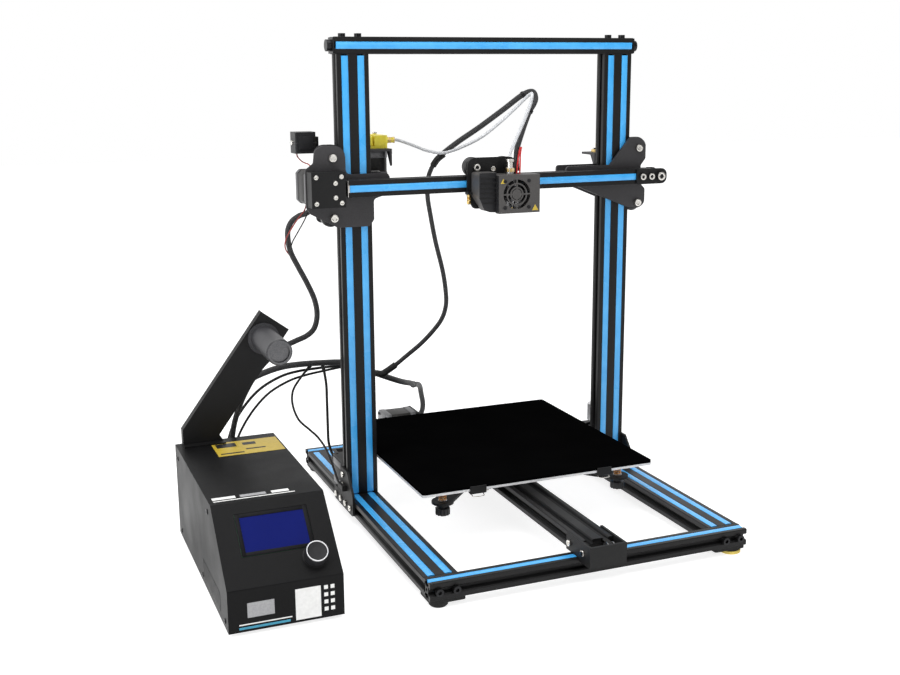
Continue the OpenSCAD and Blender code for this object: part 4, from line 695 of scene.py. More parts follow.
# the trim's crowned section: across the slot, and out of the rail's face
trim = {"section": [(-4.5, -0.6), (-3.9, -0.2), (-2.4, 0.08), (0, 0.2), (2.4, 0.08), (3.9, -0.2), (4.5, -0.6),
                    (3.0, -1.7), (2.9, -3.1), (-2.9, -3.1), (-3.0, -1.7)],
        "deck": 30, "uprightFace": 290, "topBar": 590.05, "sideRail": (22, 478), "upright": (32, 578),
        "crossRail": (-198, 198), "bar": (-200, 200), "xRail": (-195, 196), "xRailFace": 264.5, "xRailZ": 423}


def makeTrim():
    section, deck, face = trim["section"], trim["deck"], trim["uprightFace"]
    strips = []
    for x in (-190, -170, 170, 190):
        strips.append(plate("strip", [(x + a, deck + d) for a, d in section], "front", *trim["sideRail"], 0))
        strips.append(plate("strip", [(x + a, face - d) for a, d in section], "top", *trim["upright"], 0))
    for y in (10, 490):
        strips.append(plate("strip", [(y + a, deck + d) for a, d in section], "side", *trim["crossRail"], 0))
    topSection = [(face - d, trim["topBar"] + a) for a, d in section]
    strips.append(plate("strip", topSection, "side", *trim["bar"], 0))
    fit(joined("slotTrim", strips), "root", "blueTrim", "slot_covers")
    front, z = trim["xRailFace"], trim["xRailZ"]
    movingSection = [(front - d, z + a) for a, d in section]
    fit(plate("xRailTrim", movingSection, "side", *trim["xRail"], 0), "z_gantry", "blueTrim")
    cutEnd = block("xRailCutEnd", (-197.6, front + 0.2, z - 9.7), (-195.4, front + 3.4, z + 9.7), 0.2)
    fit(cutEnd, "z_gantry", "bareCut")


makeTrim()

# motors

motors = {
    "zMotorLeft": {"face": (-180, 335, 64.5), "axis": (0, 0, 1), "long": 34, "body": "root"},
    "zMotorRight": {"face": (180, 335, 64.5), "axis": (0, 0, 1), "long": 34, "body": "root"},
    "yMotor": {"face": (-23.05, 532, 40), "axis": (1, 0, 0), "long": 48, "body": "root"},
    "xMotor": {"face": (-222, 287.55, 423), "axis": (0, -1, 0), "long": 48, "body": "z_gantry"},
    "feederMotor": {"face": (-145, 350, 462.95), "axis": (0, 0, 1), "long": 35, "body": "z_gantry"},
}
motorShape = {"wide": 42, "corner": 4.5, "frontCap": 9, "rearCap": 9, "coreIn": 0.6, "screwPitch": 15.5}


def motorSection(name, low, high, wide, finish):
    half, corner = wide / 2000, motorShape["corner"] / 1000
    bpy.ops.object.select_all(action="DESELECT")
    bpy.ops.mesh.primitive_cube_add(size=1, location=(0, 0, (low + high) / 2000))
    piece = bpy.context.object
    piece.name = name
    piece.scale = (2 * half, 2 * half, (high - low) / 1000)
    settle(piece)
    bpy.ops.object.mode_set(mode="EDIT")
    bpy.ops.mesh.select_mode(type="EDGE")
    bpy.ops.mesh.select_all(action="DESELECT")
    mesh = bmesh.from_edit_mesh(piece.data)
    for edge in mesh.edges:
        run = edge.verts[0].co - edge.verts[1].co
        edge.select_set(abs(run.x) < 1e-6 and abs(run.y) < 1e-6)
    bmesh.update_edit_mesh(piece.data)
    bpy.ops.mesh.bevel(offset=corner, segments=1, affect="EDGES")
    bpy.ops.object.mode_set(mode="OBJECT")
    bevelled(piece, 0.5, 2)
    return tinted(piece, finish)


def makeMotor(name, motor):
    long, wide, inset = motor["long"], motorShape["wide"], motorShape["coreIn"]
    front, rear = -motorShape["frontCap"], -long + motorShape["rearCap"]
    parts = [motorSection("front", front, 0, wide, "motorCap"),
             motorSection("core", rear, front, wide - 2 * inset, "motorCore"),
             motorSection("rear", -long, rear, wide, "motorCap")]
    pitch = motorShape["screwPitch"]
    for x in (-pitch, pitch):
        for y in (-pitch, pitch):
            hole = copied(screwModel, "screw", Matrix.Translation((x / 1000, y / 1000, -(long + 0.2) / 1000))
                          @ Matrix.Rotation(math.pi, 4, "X") @ Matrix.Diagonal((0.55, 0.55, 0.3, 1)))
            parts.append(tinted(hole, "blackScrew"))
    plug = block("plug", (-8, -24.2, -long + 1.5), (8, -20.4, -long + 10.5), 0.3, place=inPlace)
    parts.append(tinted(plug, "whitePlastic"))
    piece = joined(name, parts)
    turn = Vector((0, 0, 1)).rotation_difference(Vector(motor["axis"])).to_matrix().to_4x4()
    piece.data.transform(Matrix.Translation(at(*motor["face"])) @ turn)
    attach(piece, motor["body"])
    return piece


for motorName, motor in motors.items():
    motor["piece"] = makeMotor(motorName, motor)
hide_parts("frame_motors")
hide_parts("gantry_motors")
print("motors done")

# gantry axles, nuts and screws

axles = {"outer": 210.35, "inner": 149.65, "rise": 36, "z": 423, "front": 284.5}


def makeAxle(name, x, z, outer):
    head = [(4.2, -4.1), (4.4, -3.7), (4.4, -0.1), (2.5, -0.1)] if outer else [(2.5, 0.2)]
    steps = head + [(2.5, 3.1), (4, 3.1), (4, 10), (2.5, 10), (2.5, 21), (4, 21), (4, 27.9), (2.5, 27.9),
                    (2.5, 31.1), (4.6, 31.1), (4.6, 34.6), (4.1, 35)]
    return fit(turned(name, (x, axles["front"], z), (0, 1, 0), steps, 24), "z_gantry", "zinc")


number = 0
for sign, label in ((-1, "Left"), (1, "Right")):
    for dz in (-axles["rise"], axles["rise"]):
        x, z = sign * axles["outer"], axles["z"] + dz
        rod = makeAxle(f"axle{label}{number}", x, z, True)
        if number == 0:
            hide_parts("gantry_fixings")
        screwAt(f"axleHead{label}{number}", (x, axles["front"] - 0.3, z), (0, -1, 0), "z_gantry", "zinc",
                1.05)
        number += 1
    makeAxle(f"axleInner{label}", sign * axles["inner"], axles["z"], False)

leadNuts = {"left": (-180, 335, 466.05), "right": (180, 335, 452.05)}
for label, place in leadNuts.items():
    steps = [(5.1, -9), (5.1, -0.02), (11, -0.02), (11, 3.2), (10.6, 3.5), (5.2, 3.5), (5.2, 11.6), (4.8, 12),
             (4.4, 12), (4.4, -9)]
    fit(turned(f"leadNut{label.title()}", place, (0, 0, 1), steps, 40, hollow=True), "z_gantry", "brass")
    for dx in (-8, 8):
        screwAt(f"leadNutScrew{label.title()}{dx}", (place[0] + dx, place[1], place[2] + 3.5), (0, 0, 1),
                "z_gantry", "zinc", 0.55)

# the X motor's cover: four corner screws and two more that hold the switch
coverScrews = [(-222 + dx, 423 + dz) for dx in (-15.5, 15.5) for dz in (-15.5, 15.5)]
coverScrews += [(-214, 431), (-214, 414)]
for i, (x, z) in enumerate(coverScrews):
    screwAt(f"coverScrew{i}", (x, 262.2, z), (0, -1, 0), "z_gantry", "zinc", 0.62, 0.7)

# idler bolt and clamp screws of the belt tensioner
for i, (x, size) in enumerate([(204, 0.95), (217, 0.95), (231, 1.25)]):
    screwAt(f"tensionerScrew{i}", (x, 261.6, 423), (0, -1, 0), "z_gantry", "zinc", size, 0.9)
for i, (x, z) in enumerate([(-34, 443.5), (-12, 441), (-31, 422)]):
    screwAt(f"carriageScrew{i}", (x, 259, z), (0, -1, 0), "x_carriage", "zinc", 0.98 if i == 0 else 0.72, 0.9)
stopScrew = turned("switchTriggerScrew", (-46, 255, 411), (0, 0, -1),
                   [(2.1, 0), (2.1, 3), (2.6, 3.4), (2.1, 3.9), (2.6, 4.4), (2.1, 5), (2.6, 5.5), (2.1, 6.1),
                    (2.6, 6.6), (2.3, 7.4), (2.6, 8), (2.6, 11), (1.8, 12.1)], 20)
fit(stopScrew, "x_carriage", "brass")

# side plates at the uprights' feet, and the Y idler's box
for sign in (-1, 1):
    for i, (y, z) in enumerate([(272, 20), (292, 20), (312, 20), (332, 20), (300, 42), (300, 56)]):
        screwAt(f"sidePlateScrew{sign}{i}", (sign * 203.0, y, z), (sign, 0, 0), "root", "zinc", 0.85, 0.7)
    for i, (y, z) in enumerate([(22, 40), (-10, 40)]):
        screwAt(f"idlerBoxScrew{sign}{i}", (sign * 23.0, y, z), (sign, 0, 0), "root", "zinc", 0.8, 0.8)
print("fixings done")

# control box

box = {"left": -410, "right": -288, "front": 20, "top": 117.6, "slopeFoot": 50, "slopeTop": 90}
slopeLean = math.atan2(box["top"] - box["slopeFoot"], box["slopeTop"] - box["front"])
slopeSeat = (Matrix.Translation(at(box["left"], box["front"], box["slopeFoot"]))
             @ Matrix.Rotation(slopeLean, 4, "X"))


def seatOnSlope(piece):
    piece.data.transform(slopeSeat @ Matrix.Translation(-at(0, 0, 0)))
    return piece


def slopeBlock(name, low, high, soft=0.3, segments=2):
    piece = block(name, low, high, soft, segments, inPlace)
    piece.data.transform(slopeSeat)
    return piece


screen = {"low": (22.4, 34.9), "high": (99.6, 83.1), "lip": 4.5, "pane": -0.36, "proud": 0.25}
knob = {"x": 97, "along": 24, "radius": 12.5, "low": 0.6, "high": 13}


def makeScreen():
    (x0, s0), (x1, s1) = screen["low"], screen["high"]
    lip = screen["lip"]
    pane, proud = screen["pane"], screen["proud"]
    frameParts = [slopeBlock("lip", (x0, s0, pane), (x0 + lip, s1, proud)),
                  slopeBlock("lip", (x1 - lip, s0, pane), (x1, s1, proud)),
                  slopeBlock("lip", (x0 + lip - 0.2, s0, pane), (x1 - lip + 0.2, s0 + lip, proud)),
                  slopeBlock("lip", (x0 + lip - 0.2, s1 - lip, pane), (x1 - lip + 0.2, s1, proud))]
    fit(joined("screenFrame", frameParts), "root", "screenBlack")
    fit(slopeBlock("screenPane", (x0 + lip - 0.6, s0 + lip - 0.6, pane),
                   (x1 - lip + 0.6, s1 - lip + 0.6, pane + 0.25), 0.08, 1), "root", "screenBlue")


makeScreen()


def makeKnob():
    low, high, radius = knob["low"], knob["high"], knob["radius"]
    body = turned("knobBody", (0, 0, 0), (0, 0, 1),
                  [(radius - 0.6, low), (radius, low + 0.6), (radius, high - 2.2), (radius - 0.9, high - 1),
                   (radius - 1.6, high - 1)], 72)
    for vertex in body.data.vertices:              # a coined grip: every other column stands back
        spot = vertex.co - at(0, 0, 0)
        angle = round(math.degrees(math.atan2(spot.y, spot.x)) / 5)
        if angle % 2 and low + 0.5 < spot.z * 1000 < high - 2:
            vertex.co = at(0, 0, 0) + Vector((spot.x * 0.955, spot.y * 0.955, spot.z))
    tinted(body, "blackPlastic")
    rim = turned("knobRim", (0, 0, 0), (0, 0, 1),
                 [(radius - 2.2, high - 1.6), (radius - 0.9, high - 1.6), (radius - 0.9, high - 0.5),
                  (radius - 1.2, high), (radius - 1.9, high), (radius - 2.2, high - 0.4)], 72,
                 hollow=True)
    tinted(rim, "steel")
    face = turned("knobFace", (0, 0, 0), (0, 0, 1),
                  [(radius - 2.0, high - 1.6), (radius - 2.0, high - 0.6), (radius - 4.5, high - 0.9),
                   (0.6, high - 1.1)], 72)
    tinted(face, "blackPlastic")
    place = Matrix.Translation(slopeSeat.to_3x3() @ Vector((knob["x"], knob["along"], 0)) / 1000)
    piece = seatOnSlope(joined("encoderKnob", [body, rim, face]))
    piece.data.transform(place)
    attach(piece, "control_knob")
    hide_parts("control_knob")
    steps = [(13.4, 0), (13.4, 0.25), (12.9, 0.45), (9, 0.45), (9, 0)]
    collar = seatOnSlope(turned("knobCollar", (0, 0, 0), (0, 0, 1), steps, 64, hollow=True))
    collar.data.transform(place)
    fit(collar, "root", "blackCoat")


makeKnob()

# the peg's end ring and its inner face, in a lighter metal grey: partly the end's own lighter tone, partly a
# painted highlight on the end face
pegLow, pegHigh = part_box("spool_peg")
pegMiddle = (pegLow + pegHigh) / 2
pegEnd = tuple((Vector((pegMiddle.x, pegLow.y, pegMiddle.z)) - at(0, 0, 0)) * 1000)
ringSteps = [(14.1, 0.3), (14.1, -0.12), (11.8, -0.12), (11.8, 0.3)]
fit(turned("pegRing", pegEnd, (0, 1, 0), ringSteps, 64, hollow=True), "root", "motorCap")
fit(turned("pegFaceToneAndHighlight", pegEnd, (0, 1, 0), [(11.9, 2.95), (11.9, 2.7), (0.3, 2.6)], 48), "root", "motorCap")

# plain printed marks, thin enough to lie on the paint
labels = {
    "rearLabel": {"low": (-370, 246, 117.6), "high": (-290, 299, 117.85), "finish": "labelYellow"},
    "rearLabelBar1": {"low": (-366, 278, 117.8), "high": (-342, 293, 117.95), "finish": "blackPlastic"},
    "rearLabelBar2": {"low": (-366, 252, 117.8), "high": (-338, 256, 117.95), "finish": "blackPlastic"},
    "rearLabelBar3": {"low": (-334, 262, 117.8), "high": (-310, 266, 117.95), "finish": "blackPlastic"},
    "rearLabelBar4": {"low": (-334, 280, 117.8), "high": (-318, 290, 117.95), "finish": "blackPlastic"},
    "topLine": {"low": (-405, 97.6, 117.6), "high": (-317, 99.8, 117.8), "finish": "labelWhite"},
    "topBar1": {"low": (-405, 103, 117.6), "high": (-380, 110, 117.8), "finish": "labelWhite"},
    "topBar2": {"low": (-375, 103, 117.6), "high": (-347, 110, 117.8), "finish": "labelGrey"},
    "topBar3": {"low": (-341, 103, 117.6), "high": (-322, 110, 117.8), "finish": "labelWhite"},
    "frontSquare": {"low": (-340, 19.8, 7), "high": (-313, 20.1, 41), "finish": "labelWhite"},
    "frontStripe": {"low": (-399, 19.8, 7), "high": (-346, 20.1, 9.5), "finish": "labelTeal"},
    "frontLine": {"low": (-399, 19.8, 11.5), "high": (-344, 20.1, 12.8), "finish": "labelWhite"},
    "frontPatch": {"low": (-390, 19.8, 19), "high": (-362, 20.1, 35), "finish": "labelGrey"},
}
for labelName, label in labels.items():
    fit(block(labelName, label["low"], label["high"], 0.05, 1), "root", label["finish"])
smallSquares = {"start": (-309.5, 12), "pitch": (7, 8), "size": 4.2}
for column in range(2):
    for row in range(4):
        x = smallSquares["start"][0] + column * smallSquares["pitch"][0]
        z = smallSquares["start"][1] + row * smallSquares["pitch"][1]
        fit(block(f"frontTick{column}{row}", (x, 19.8, z),
                  (x + smallSquares["size"], 20.1, z + smallSquares["size"]), 0.05, 1), "root", "labelWhite")

# screws along the box's edges, and cooling slots low on its outer side
for i, (y, z) in enumerate([(36, 12), (160, 12), (300, 12), (110, 104), (300, 104)]):
    for side, x in ((-1, box["left"]), (1, box["right"])):
        screwAt(f"boxScrew{i}{side}", (x + side * 0.1, y, z), (side, 0, 0), "root", "blackScrew", 0.62, 0.35)
vents = {"y": 60, "pitch": 7, "count": 14, "long": 3.2, "low": 12, "high": 34}
for i in range(vents["count"]):
    y = vents["y"] + i * vents["pitch"]
    slotPiece = block(f"ventSlot{i}", (box["left"] - 0.35, y, vents["low"]),
                      (box["left"] + 0.1, y + vents["long"], vents["high"]), 0.15, 1)
    fit(slotPiece, "root", "blackAnodised")
print("control box done")

# lead screws

leadScrew = {"place": (-180, 335), "start": 95.5, "lead": 8, "turns": 58, "crest": 4.0, "root": 3.55,
             "sides": 16, "apart": 360}


def makeThread():
    radius, steps = leadScrew["crest"] / 1000, leadScrew["sides"]
    bpy.ops.object.select_all(action="DESELECT")
    bpy.ops.mesh.primitive_circle_add(vertices=leadScrew["sides"], radius=radius, fill_type="NOTHING",
                                      location=(0, 0, 0))
    piece = bpy.context.object
    for number, vertex in enumerate(piece.data.vertices):      # four starts, so four crests round the rod
        if number % 4 in (2, 3):
            vertex.co *= leadScrew["root"] / leadScrew["crest"]
    bpy.ops.object.mode_set(mode="EDIT")
    bpy.ops.mesh.select_all(action="SELECT")
    for step in range(steps):
        bpy.ops.mesh.extrude_region_move(
            TRANSFORM_OT_translate={"value": (0, 0, leadScrew["lead"] / steps / 1000)})
        bpy.ops.transform.rotate(value=-2 * math.pi / steps, orient_axis="Z", center_override=(0, 0, 0))
    bpy.ops.object.mode_set(mode="OBJECT")
    repeat = piece.modifiers.new("turns", "ARRAY")
    repeat.count = leadScrew["turns"]
    repeat.use_relative_offset = False
    repeat.use_constant_offset = True
    repeat.constant_offset_displace = (0, 0, leadScrew["lead"] / 1000)
    repeat.use_merge_vertices = True
    repeat.merge_threshold = 0.00002
    bpy.ops.object.modifier_apply(modifier="turns")
    bpy.ops.object.mode_set(mode="EDIT")
    bpy.ops.mesh.select_all(action="SELECT")
    bpy.ops.mesh.fill_holes(sides=0)
    bpy.ops.object.mode_set(mode="OBJECT")
    cleaned(piece)
    return tinted(piece, "steel")


def makeLeadScrew():
    x, y = leadScrew["place"]
    thread = makeThread()
    thread.data.transform(Matrix.Translation(at(x, y, leadScrew["start"])))
    grooves = []
    for z in (82, 84, 86, 88, 90, 92):             # the flexing cuts round the coupler
        grooves += [(9.5, z - 0.35), (8.6, z - 0.3), (8.6, z + 0.3), (9.5, z + 0.35)]
    coupler = turned("coupler", (x, y, 0), (0, 0, 1),
                     [(8.7, 74.5), (9.5, 75.3)] + grooves + [(9.5, 98.7), (8.7, 99.5)], 40)
    tinted(coupler, "alloy")
    shaft = turned("shaft", (x, y, 0), (0, 0, 1), [(2.45, 60), (2.45, 75)], 20)
    tinted(shaft, "steel")
    clamps = []
    for z in (78.5, 95.5):
        turn = Matrix.Rotation(math.radians(90), 4, "X")
        clamp = copied(screwModel, "clamp", Matrix.Translation(at(x + 4, y - 8.3, z)) @ turn
                       @ Matrix.Diagonal((0.4, 0.4, 0.35, 1)))
        clamps.append(tinted(clamp, "blackScrew"))
    left = joined("leadScrewLeft", [thread, coupler, shaft] + clamps)
    right = copied(left, "leadScrewRight", Matrix.Translation((leadScrew["apart"] / 1000, 0, 0)))
    for piece, nodeName in ((left, "lead_screw_left"), (right, "lead_screw_right")):
        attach(piece, nodeName)
        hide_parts(nodeName)


makeLeadScrew()
print("lead screws done")

# bed

spring = {"x": 120, "y": (164, 424), "low": 56.3, "radius": 4.2, "wire": 0.75, "turns": 6, "pitch": 2.4}


def makeSprings():
    bpy.ops.object.select_all(action="DESELECT")
    bpy.ops.mesh.primitive_circle_add(vertices=8, radius=spring["wire"] / 1000, fill_type="NOTHING",
                                      location=(0, 0, 0))
    coil = bpy.context.object
    upright = Matrix.Rotation(math.pi / 2, 4, "X")
    coil.data.transform(Matrix.Translation((spring["radius"] / 1000, 0, 0)) @ upright)
    wind = coil.modifiers.new("wind", "SCREW")
    wind.steps = wind.render_steps = 24
    wind.iterations = spring["turns"]
    wind.screw_offset = spring["pitch"] / 1000
    bpy.ops.object.modifier_apply(modifier="wind")
    bpy.ops.object.mode_set(mode="EDIT")
    bpy.ops.mesh.select_all(action="SELECT")
    bpy.ops.mesh.fill_holes(sides=10)
    bpy.ops.object.mode_set(mode="OBJECT")
    cleaned(coil)
    bpy.ops.object.shade_smooth_by_angle(angle=math.radians(40))
    for x in (-spring["x"], spring["x"]):
        for y in spring["y"]:
            fit(copied(coil, f"bedSpring{x}{y}", Matrix.Translation(at(x, y, spring["low"]))),
                "y_carriage", "copper")
    bpy.data.objects.remove(coil)


plainTube = {"height": 0.0159, "within": 0.0004, "wide": 0.0092}      # the CAD's springs, in metres


def makeBedBolts():
    # the CAD's bed fixings without their four plain tubes
    source = nodes["bed_fixings"]
    bolts = bpy.data.objects.new("bedBolts", source.data.copy())
    bolts.data.transform(source.matrix_world)
    bpy.context.scene.collection.objects.link(bolts)
    cleaned(bolts)
    bpy.ops.object.mode_set(mode="EDIT")
    bpy.ops.mesh.select_all(action="SELECT")
    bpy.ops.mesh.separate(type="LOOSE")
    bpy.ops.object.mode_set(mode="OBJECT")
    kept = []
    for part in list(bpy.context.selected_objects):
        heights = [v.co.z for v in part.data.vertices]
        wide = max(v.co.x for v in part.data.vertices) - min(v.co.x for v in part.data.vertices)
        off = abs(max(heights) - min(heights) - plainTube["height"])
        if off < plainTube["within"] and wide > plainTube["wide"]:
            bpy.data.objects.remove(part)
        else:
            kept.append(part)
    bolts = joined("bedBolts", kept)
    only(bolts)
    bpy.ops.object.shade_smooth_by_angle(angle=math.radians(35))
    fit(bolts, "y_carriage", "zinc", "bed_fixings")


makeSprings()
makeBedBolts()

bed = {"front": 139, "rear": 449, "clips": [(-95, -74), (76, 96)], "glassTop": 78, "under": 71.5}


def makeBedClip(name, x0, x1, edge, inward):
    # a small folded clip that grips the plate's edge, with its wire loop hanging below
    low, high = bed["under"] - 3.4, bed["glassTop"] - 0.4
    outline = [(edge - inward * 1.6, low), (edge - inward * 1.6, high), (edge - inward * 0.3, high),
               (edge - inward * 0.3, low + 2.6), (edge + inward * 8, low + 2.6),
               (edge + inward * 8, low + 1.4)]
    fit(plate(name, outline, "side", x0, x1, 0.15), "y_carriage", "blackCoat")
    loop = [(x0 + 3, edge + inward * 6, low + 1), (x0 + 3, edge - inward * 1, low - 2.4),
            (x0 + 5, edge - inward * 2.4, low - 3.2), (x1 - 5, edge - inward * 2.4, low - 3.2),
            (x1 - 3, edge - inward * 1, low - 2.4), (x1 - 3, edge + inward * 6, low + 1)]
    fit(tube(name + "Wire", smoothRoute(loop, 5), 0.0006, 8), "y_carriage", "zinc")


for i, (x0, x1) in enumerate(bed["clips"]):
    makeBedClip(f"bedClipFront{i}", x0, x1, bed["front"], 1)
    makeBedClip(f"bedClipRear{i}", x0, x1, bed["rear"], -1)
for x in (-spring["x"], spring["x"]):
    for y in spring["y"]:
        fit(turned(f"bedWasher{x}{y}", (x, y, 0), (0, 0, 1), [(5.6, 55.55), (5.6, 56.2), (3, 56.2)], 24),
            "y_carriage", "zinc")
terminal = block("bedTerminal", (-18, 440, 62), (18, 449, 71.3), 0.8)
fit(terminal, "y_carriage", "whitePlastic")
fit(turned("footPad", (186, 12, 0), (0, 0, 1), [(11.6, 0.05), (12.2, 0.4), (12.2, 3.4), (11.6, 3.7)], 40),
    "root", "footPad")
print("bed done")

# feeder, sensor and hotend

fitting = {"y": 350, "z": 475, "steps": [
    (4.9, -124.2), (4.9, -118.4), (4.2, -118), (4.2, -114), (3.9, -113.6), (3.9, -110.6), (4.4, -110.2),
    (4.4, -108.9), (3.2, -108.7)]}
collar = turned("feederFitting", (0, fitting["y"], fitting["z"]), (1, 0, 0), fitting["steps"], 6, 20)
fit(collar, "z_gantry", "brass")
for i, (dx, dy) in enumerate([(15.5, 15.5), (-15.5, 15.5), (15.5, -15.5)]):
    top = 482 if dy > 0 else 469
    screwAt(f"feederScrew{i}", (-145 + dx, 350 + dy, top), (0, 0, 1), "z_gantry", "zinc", 0.7)
screwAt("leverPivot", (-160.5, 334.5, 481.2), (0, 0, 1), "z_gantry", "zinc", 0.7)
# painted shade: a thin red sheet on the lever's front that stands in for the dark-red shade at the lever's
# left
fit(block("leverPaintedShade", (-172, 326.8, 471), (-163, 328.3, 479.5), 0.5), "extruder_lever", "redPlastic")

sensor = {"x": (-241, -215), "y": (337, 363), "z": (462, 488)}
(sx0, sx1), (sy0, sy1), (sz0, sz1) = sensor["x"], sensor["y"], sensor["z"]
fit(block("sensorFace", (sx0 + 4, sy0 - 1.4, sz0 + 5), (sx1 - 4, sy0 + 0.4, sz1 - 5), 0.6),
    "z_gantry", "blackPlastic")
fit(block("sensorSeam", (sx0 - 0.3, sy0 - 0.3, sz0 + 12.4), (sx1 + 0.3, sy1 + 0.3, sz0 + 13.2), 0.1, 1),
    "z_gantry", "greyPlate")
fit(turned("sensorInlet", (sx0 - 2.6, 350, 475), (1, 0, 0), [(2.2, 0), (3, 0.8), (3, 2.7)], 24),
    "z_gantry", "zinc")
fit(block("sensorPlug", (sx0 + 6, sy1, sz0 + 3), (sx1 - 8, sy1 + 5, sz0 + 10), 0.4),
    "z_gantry", "whitePlastic")

hot = {"x": 4, "y": 243}
nozzle = turned("nozzle", (hot["x"], hot["y"], 0), (0, 0, 1),
                [(0.5, 387.45), (1.1, 387.7), (3.1, 390.5), (4.05, 390.6), (4.05, 394.8)], 24)
fit(nozzle, "x_carriage", "brass")
quick = turned("hotendFitting", (hot["x"], hot["y"], 0), (0, 0, 1),
               [(4.9, 437.2), (4.9, 442.8), (3.75, 443.2), (3.75, 449.8), (5.1, 450.4), (5.1, 453.1),
                (2.6, 453.3)], 28)
fit(quick, "x_carriage", "zinc")
fit(turned("hotendFittingNut", (hot["x"], hot["y"], 0), (0, 0, 1), [(5.6, 438), (5.6, 442.4)], 6, 20),
    "x_carriage", "brass")

shroud = {"right": 35, "front": 222, "low": 389, "louvres": 5}
for i in range(shroud["louvres"]):                 # raised louvres on the right side
    z = shroud["low"] + 10 + i * 6
    fit(block(f"louvre{i}", (shroud["right"] - 0.2, 229, z), (shroud["right"] + 0.5, 250, z + 2.2), 0.25, 1),
        "x_carriage", "blackPlastic")
blower = {"left": -42, "right": -20, "front": 231, "outline": [
    (-42.2, 438.4), (-19.8, 438.4), (-19.8, 390.1), (-29, 390.8), (-36, 394), (-42.2, 408)]}
fit(plate("blowerFace", blower["outline"], "front", blower["front"] - 0.5, blower["front"] - 0.05, 0.15),
    "x_carriage", "blackPlastic")
fit(block("shroudSide", (-20.4, 222.8, 389.8), (-20.02, 231, 435), 0.1, 1), "x_carriage", "blackPlastic")
for i in range(6):
    z = 401 + i * 6
    fit(block(f"blowerRib{i}", (blower["left"] + (4 if i == 0 else 0.6), blower["front"] - 1.5, z),
              (blower["right"] - 0.6, blower["front"] - 0.3, z + 2.2), 0.3, 1), "x_carriage", "blackCoat")
    fit(block(f"sideRib{i}", (-21.6, 223.6, z), (-20.2, 230.4, z + 2.2), 0.3, 1), "x_carriage", "blackCoat")
for dx in (-16, 16):
    for dz in (-16, 16):
        screwAt(f"fanScrew{dx}{dz}", (hot["x"] + dx, shroud["front"], 412 + dz), (0, -1, 0), "x_carriage",
                "blackScrew", 0.5, 0.4)
fit(plate("shroudPatch", [(24.5, 391.5), (33, 391.5), (28.7, 399)], "front", 221.85, 222.05, 0), "x_carriage",
    "labelYellow")
fit(plate("shroudPatchUpper", [(-18, 425.5), (-11, 425.5), (-14.5, 431.5)], "front", 221.85, 222.05, 0),
    "x_carriage", "labelYellow")
# dark panels that close the shroud behind the fan
fit(block("shroudRear", (-18.3, 254.8, 389.5), (33.3, 255.4, 433.8), 0.1, 1), "x_carriage", "blackAnodised")
fit(block("shroudFloor", (-18.3, 247.6, 389.2), (33.3, 254.9, 389.9), 0.1, 1), "x_carriage", "blackAnodised")
print("feeder and hotend done")

# wheels' bearings

bearing = {"inner": 2.7, "race": 4.1, "seal": 6.6, "outer": 7.6, "thick": 0.25}


def makeBearing():
    rings = [("zinc", bearing["inner"], bearing["race"]), ("blackPlastic", bearing["race"], bearing["seal"]),
             ("zinc", bearing["seal"], bearing["outer"])]
    parts = []
    for finish, small, large in rings:
        high = bearing["thick"] - (0.1 if finish == "blackPlastic" else 0)
        steps = [(small, 0), (large, 0), (large, high), (small, high)]
        ring = turned("ring", (0, 0, 0), (0, 0, 1), steps, 28, hollow=True)
        ring.data.transform(Matrix.Translation(-at(0, 0, 0)))
        parts.append(tinted(ring, finish))
    return joined("bearing", parts)


bearingModel = makeBearing()
for nodeName in [n for n in nodes if "_wheel_" in n and not n.startswith("level")]:
    low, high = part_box(nodeName)
    middle = (low + high) / 2
    size = high - low
    axis = min(range(3), key=lambda k: size[k])
    for side in (-1, 1):
        direction = Vector([side if k == axis else 0 for k in range(3)])
        turn = Vector((0, 0, 1)).rotation_difference(direction).to_matrix().to_4x4()
        seat = Matrix.Translation(middle + direction * (size[axis] / 2)) @ turn
        piece = copied(bearingModel, f"{nodeName}Bearing{side}", seat)
        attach(piece, nodeName)
bpy.data.objects.remove(bearingModel)

# rear of the control box

socket = {"x": (-402, -374), "z": (14, 36), "y": 318}
fit(block("powerInlet", (socket["x"][0], socket["y"] - 0.4, socket["z"][0]),
          (socket["x"][1], socket["y"] + 2.2, socket["z"][1]), 1.2), "root", "blackPlastic")
for dx in (8, 14, 20):
    fit(block(f"inletPin{dx}", (socket["x"][0] + dx - 1, socket["y"] + 2, 22),
              (socket["x"][0] + dx + 1, socket["y"] + 2.6, 28), 0.1, 1), "root", "zinc")
fit(block("powerSwitch", (-366, 317.6, 16), (-350, 321.5, 34), 1.0), "root", "blackPlastic")
fit(block("switchRocker", (-364, 321.2, 18), (-352, 323, 32), 0.8), "root", "redPlastic")
print("box rear done")

# room, light and floor

room = {"front": 0.07, "back": 1.05, "floorTone": (0.5, 0.5, 0.5), "floorGlow": 0.8}


def areaLight(name, place, aim, size, power):
    data = bpy.data.lights.new(name, "AREA")
    data.shape = "RECTANGLE"
    data.size, data.size_y = size
    data.energy = power
    lamp = bpy.data.objects.new(name, data)
    bpy.context.scene.collection.objects.link(lamp)
    lamp.location = place
    lamp.rotation_euler = (Vector(aim) - Vector(place)).to_track_quat("-Z", "Y").to_euler()


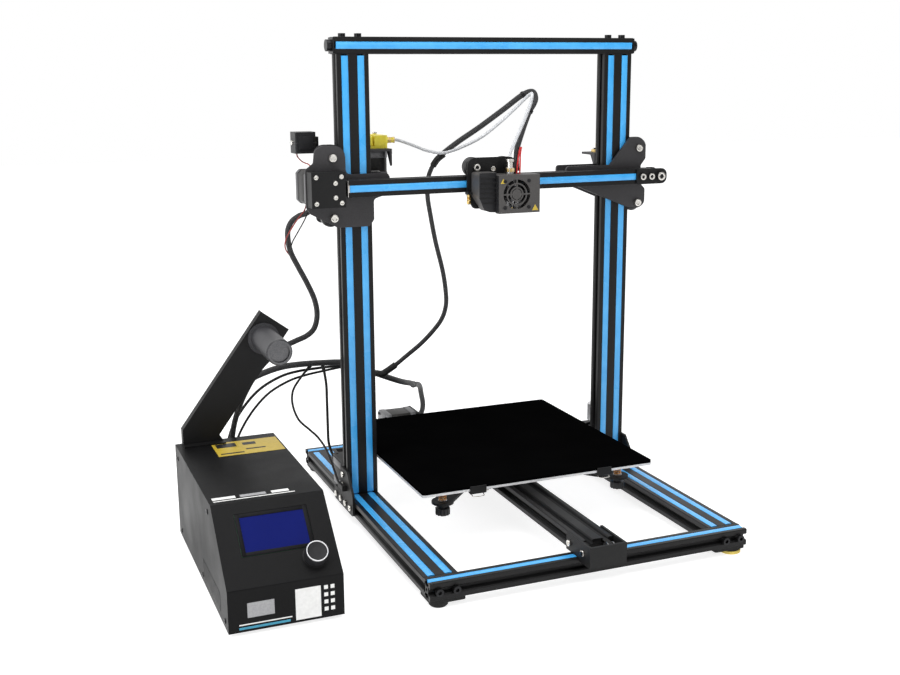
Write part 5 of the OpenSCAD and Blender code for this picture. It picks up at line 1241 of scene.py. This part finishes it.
# a white backdrop behind and beside the object, and a darker room behind the camera
def makeWorld():
    world = bpy.data.worlds.new("studio")
    world.use_nodes = True
    tree, join = world.node_tree.nodes, world.node_tree.links.new
    lit = tree["Background"]
    coords = tree.new("ShaderNodeTexCoord")
    parts = tree.new("ShaderNodeSeparateXYZ")
    fade = added(tree, "ShaderNodeMapRange", {"From Min": -0.75, "From Max": 0.15, "To Min": room["front"],
                                              "To Max": room["back"]})
    join(coords.outputs["Generated"], parts.inputs["Vector"])
    join(parts.outputs["Y"], fade.inputs["Value"])
    join(fade.outputs["Result"], lit.inputs["Strength"])
    lit.inputs["Color"].default_value = (1, 1, 1, 1)
    plain = added(tree, "ShaderNodeBackground", {"Color": (1, 1, 1, 1)})
    path = tree.new("ShaderNodeLightPath")
    pick = tree.new("ShaderNodeMixShader")
    join(path.outputs["Is Camera Ray"], pick.inputs["Fac"])
    join(lit.outputs["Background"], pick.inputs[1])
    join(plain.outputs["Background"], pick.inputs[2])
    join(pick.outputs["Shader"], tree["World Output"].inputs["Surface"])
    bpy.context.scene.world = world


makeWorld()
areaLight("softboxTop", (-0.3, -0.5, 1.9), (0, 0, 0.2), (1.6, 1.2), 22)
areaLight("softboxLeft", (-1.7, -0.7, 0.9), (-0.1, 0, 0.3), (0.9, 1.4), 14)
areaLight("softboxFront", (0.6, -1.9, 1.1), (0, 0, 0.3), (1.0, 1.0), 5)

bpy.ops.object.select_all(action="DESELECT")
bpy.ops.mesh.primitive_plane_add(size=14, location=(0, 0, cadBox[0][2]))
floor = bpy.context.object
floor.name = "floor"
floorLook = bpy.data.materials.new("floor")
floorLook.use_nodes = True
surface = floorLook.node_tree.nodes["Principled BSDF"].inputs
surface["Base Color"].default_value = (*room["floorTone"], 1)
surface["Roughness"].default_value = 0.9
surface["Emission Color"].default_value = (1, 1, 1, 1)
surface["Emission Strength"].default_value = room["floorGlow"]
floor.data.materials.append(floorLook)
bpy.context.scene.view_settings.view_transform = "Standard"

bpy.data.objects.remove(screwModel)
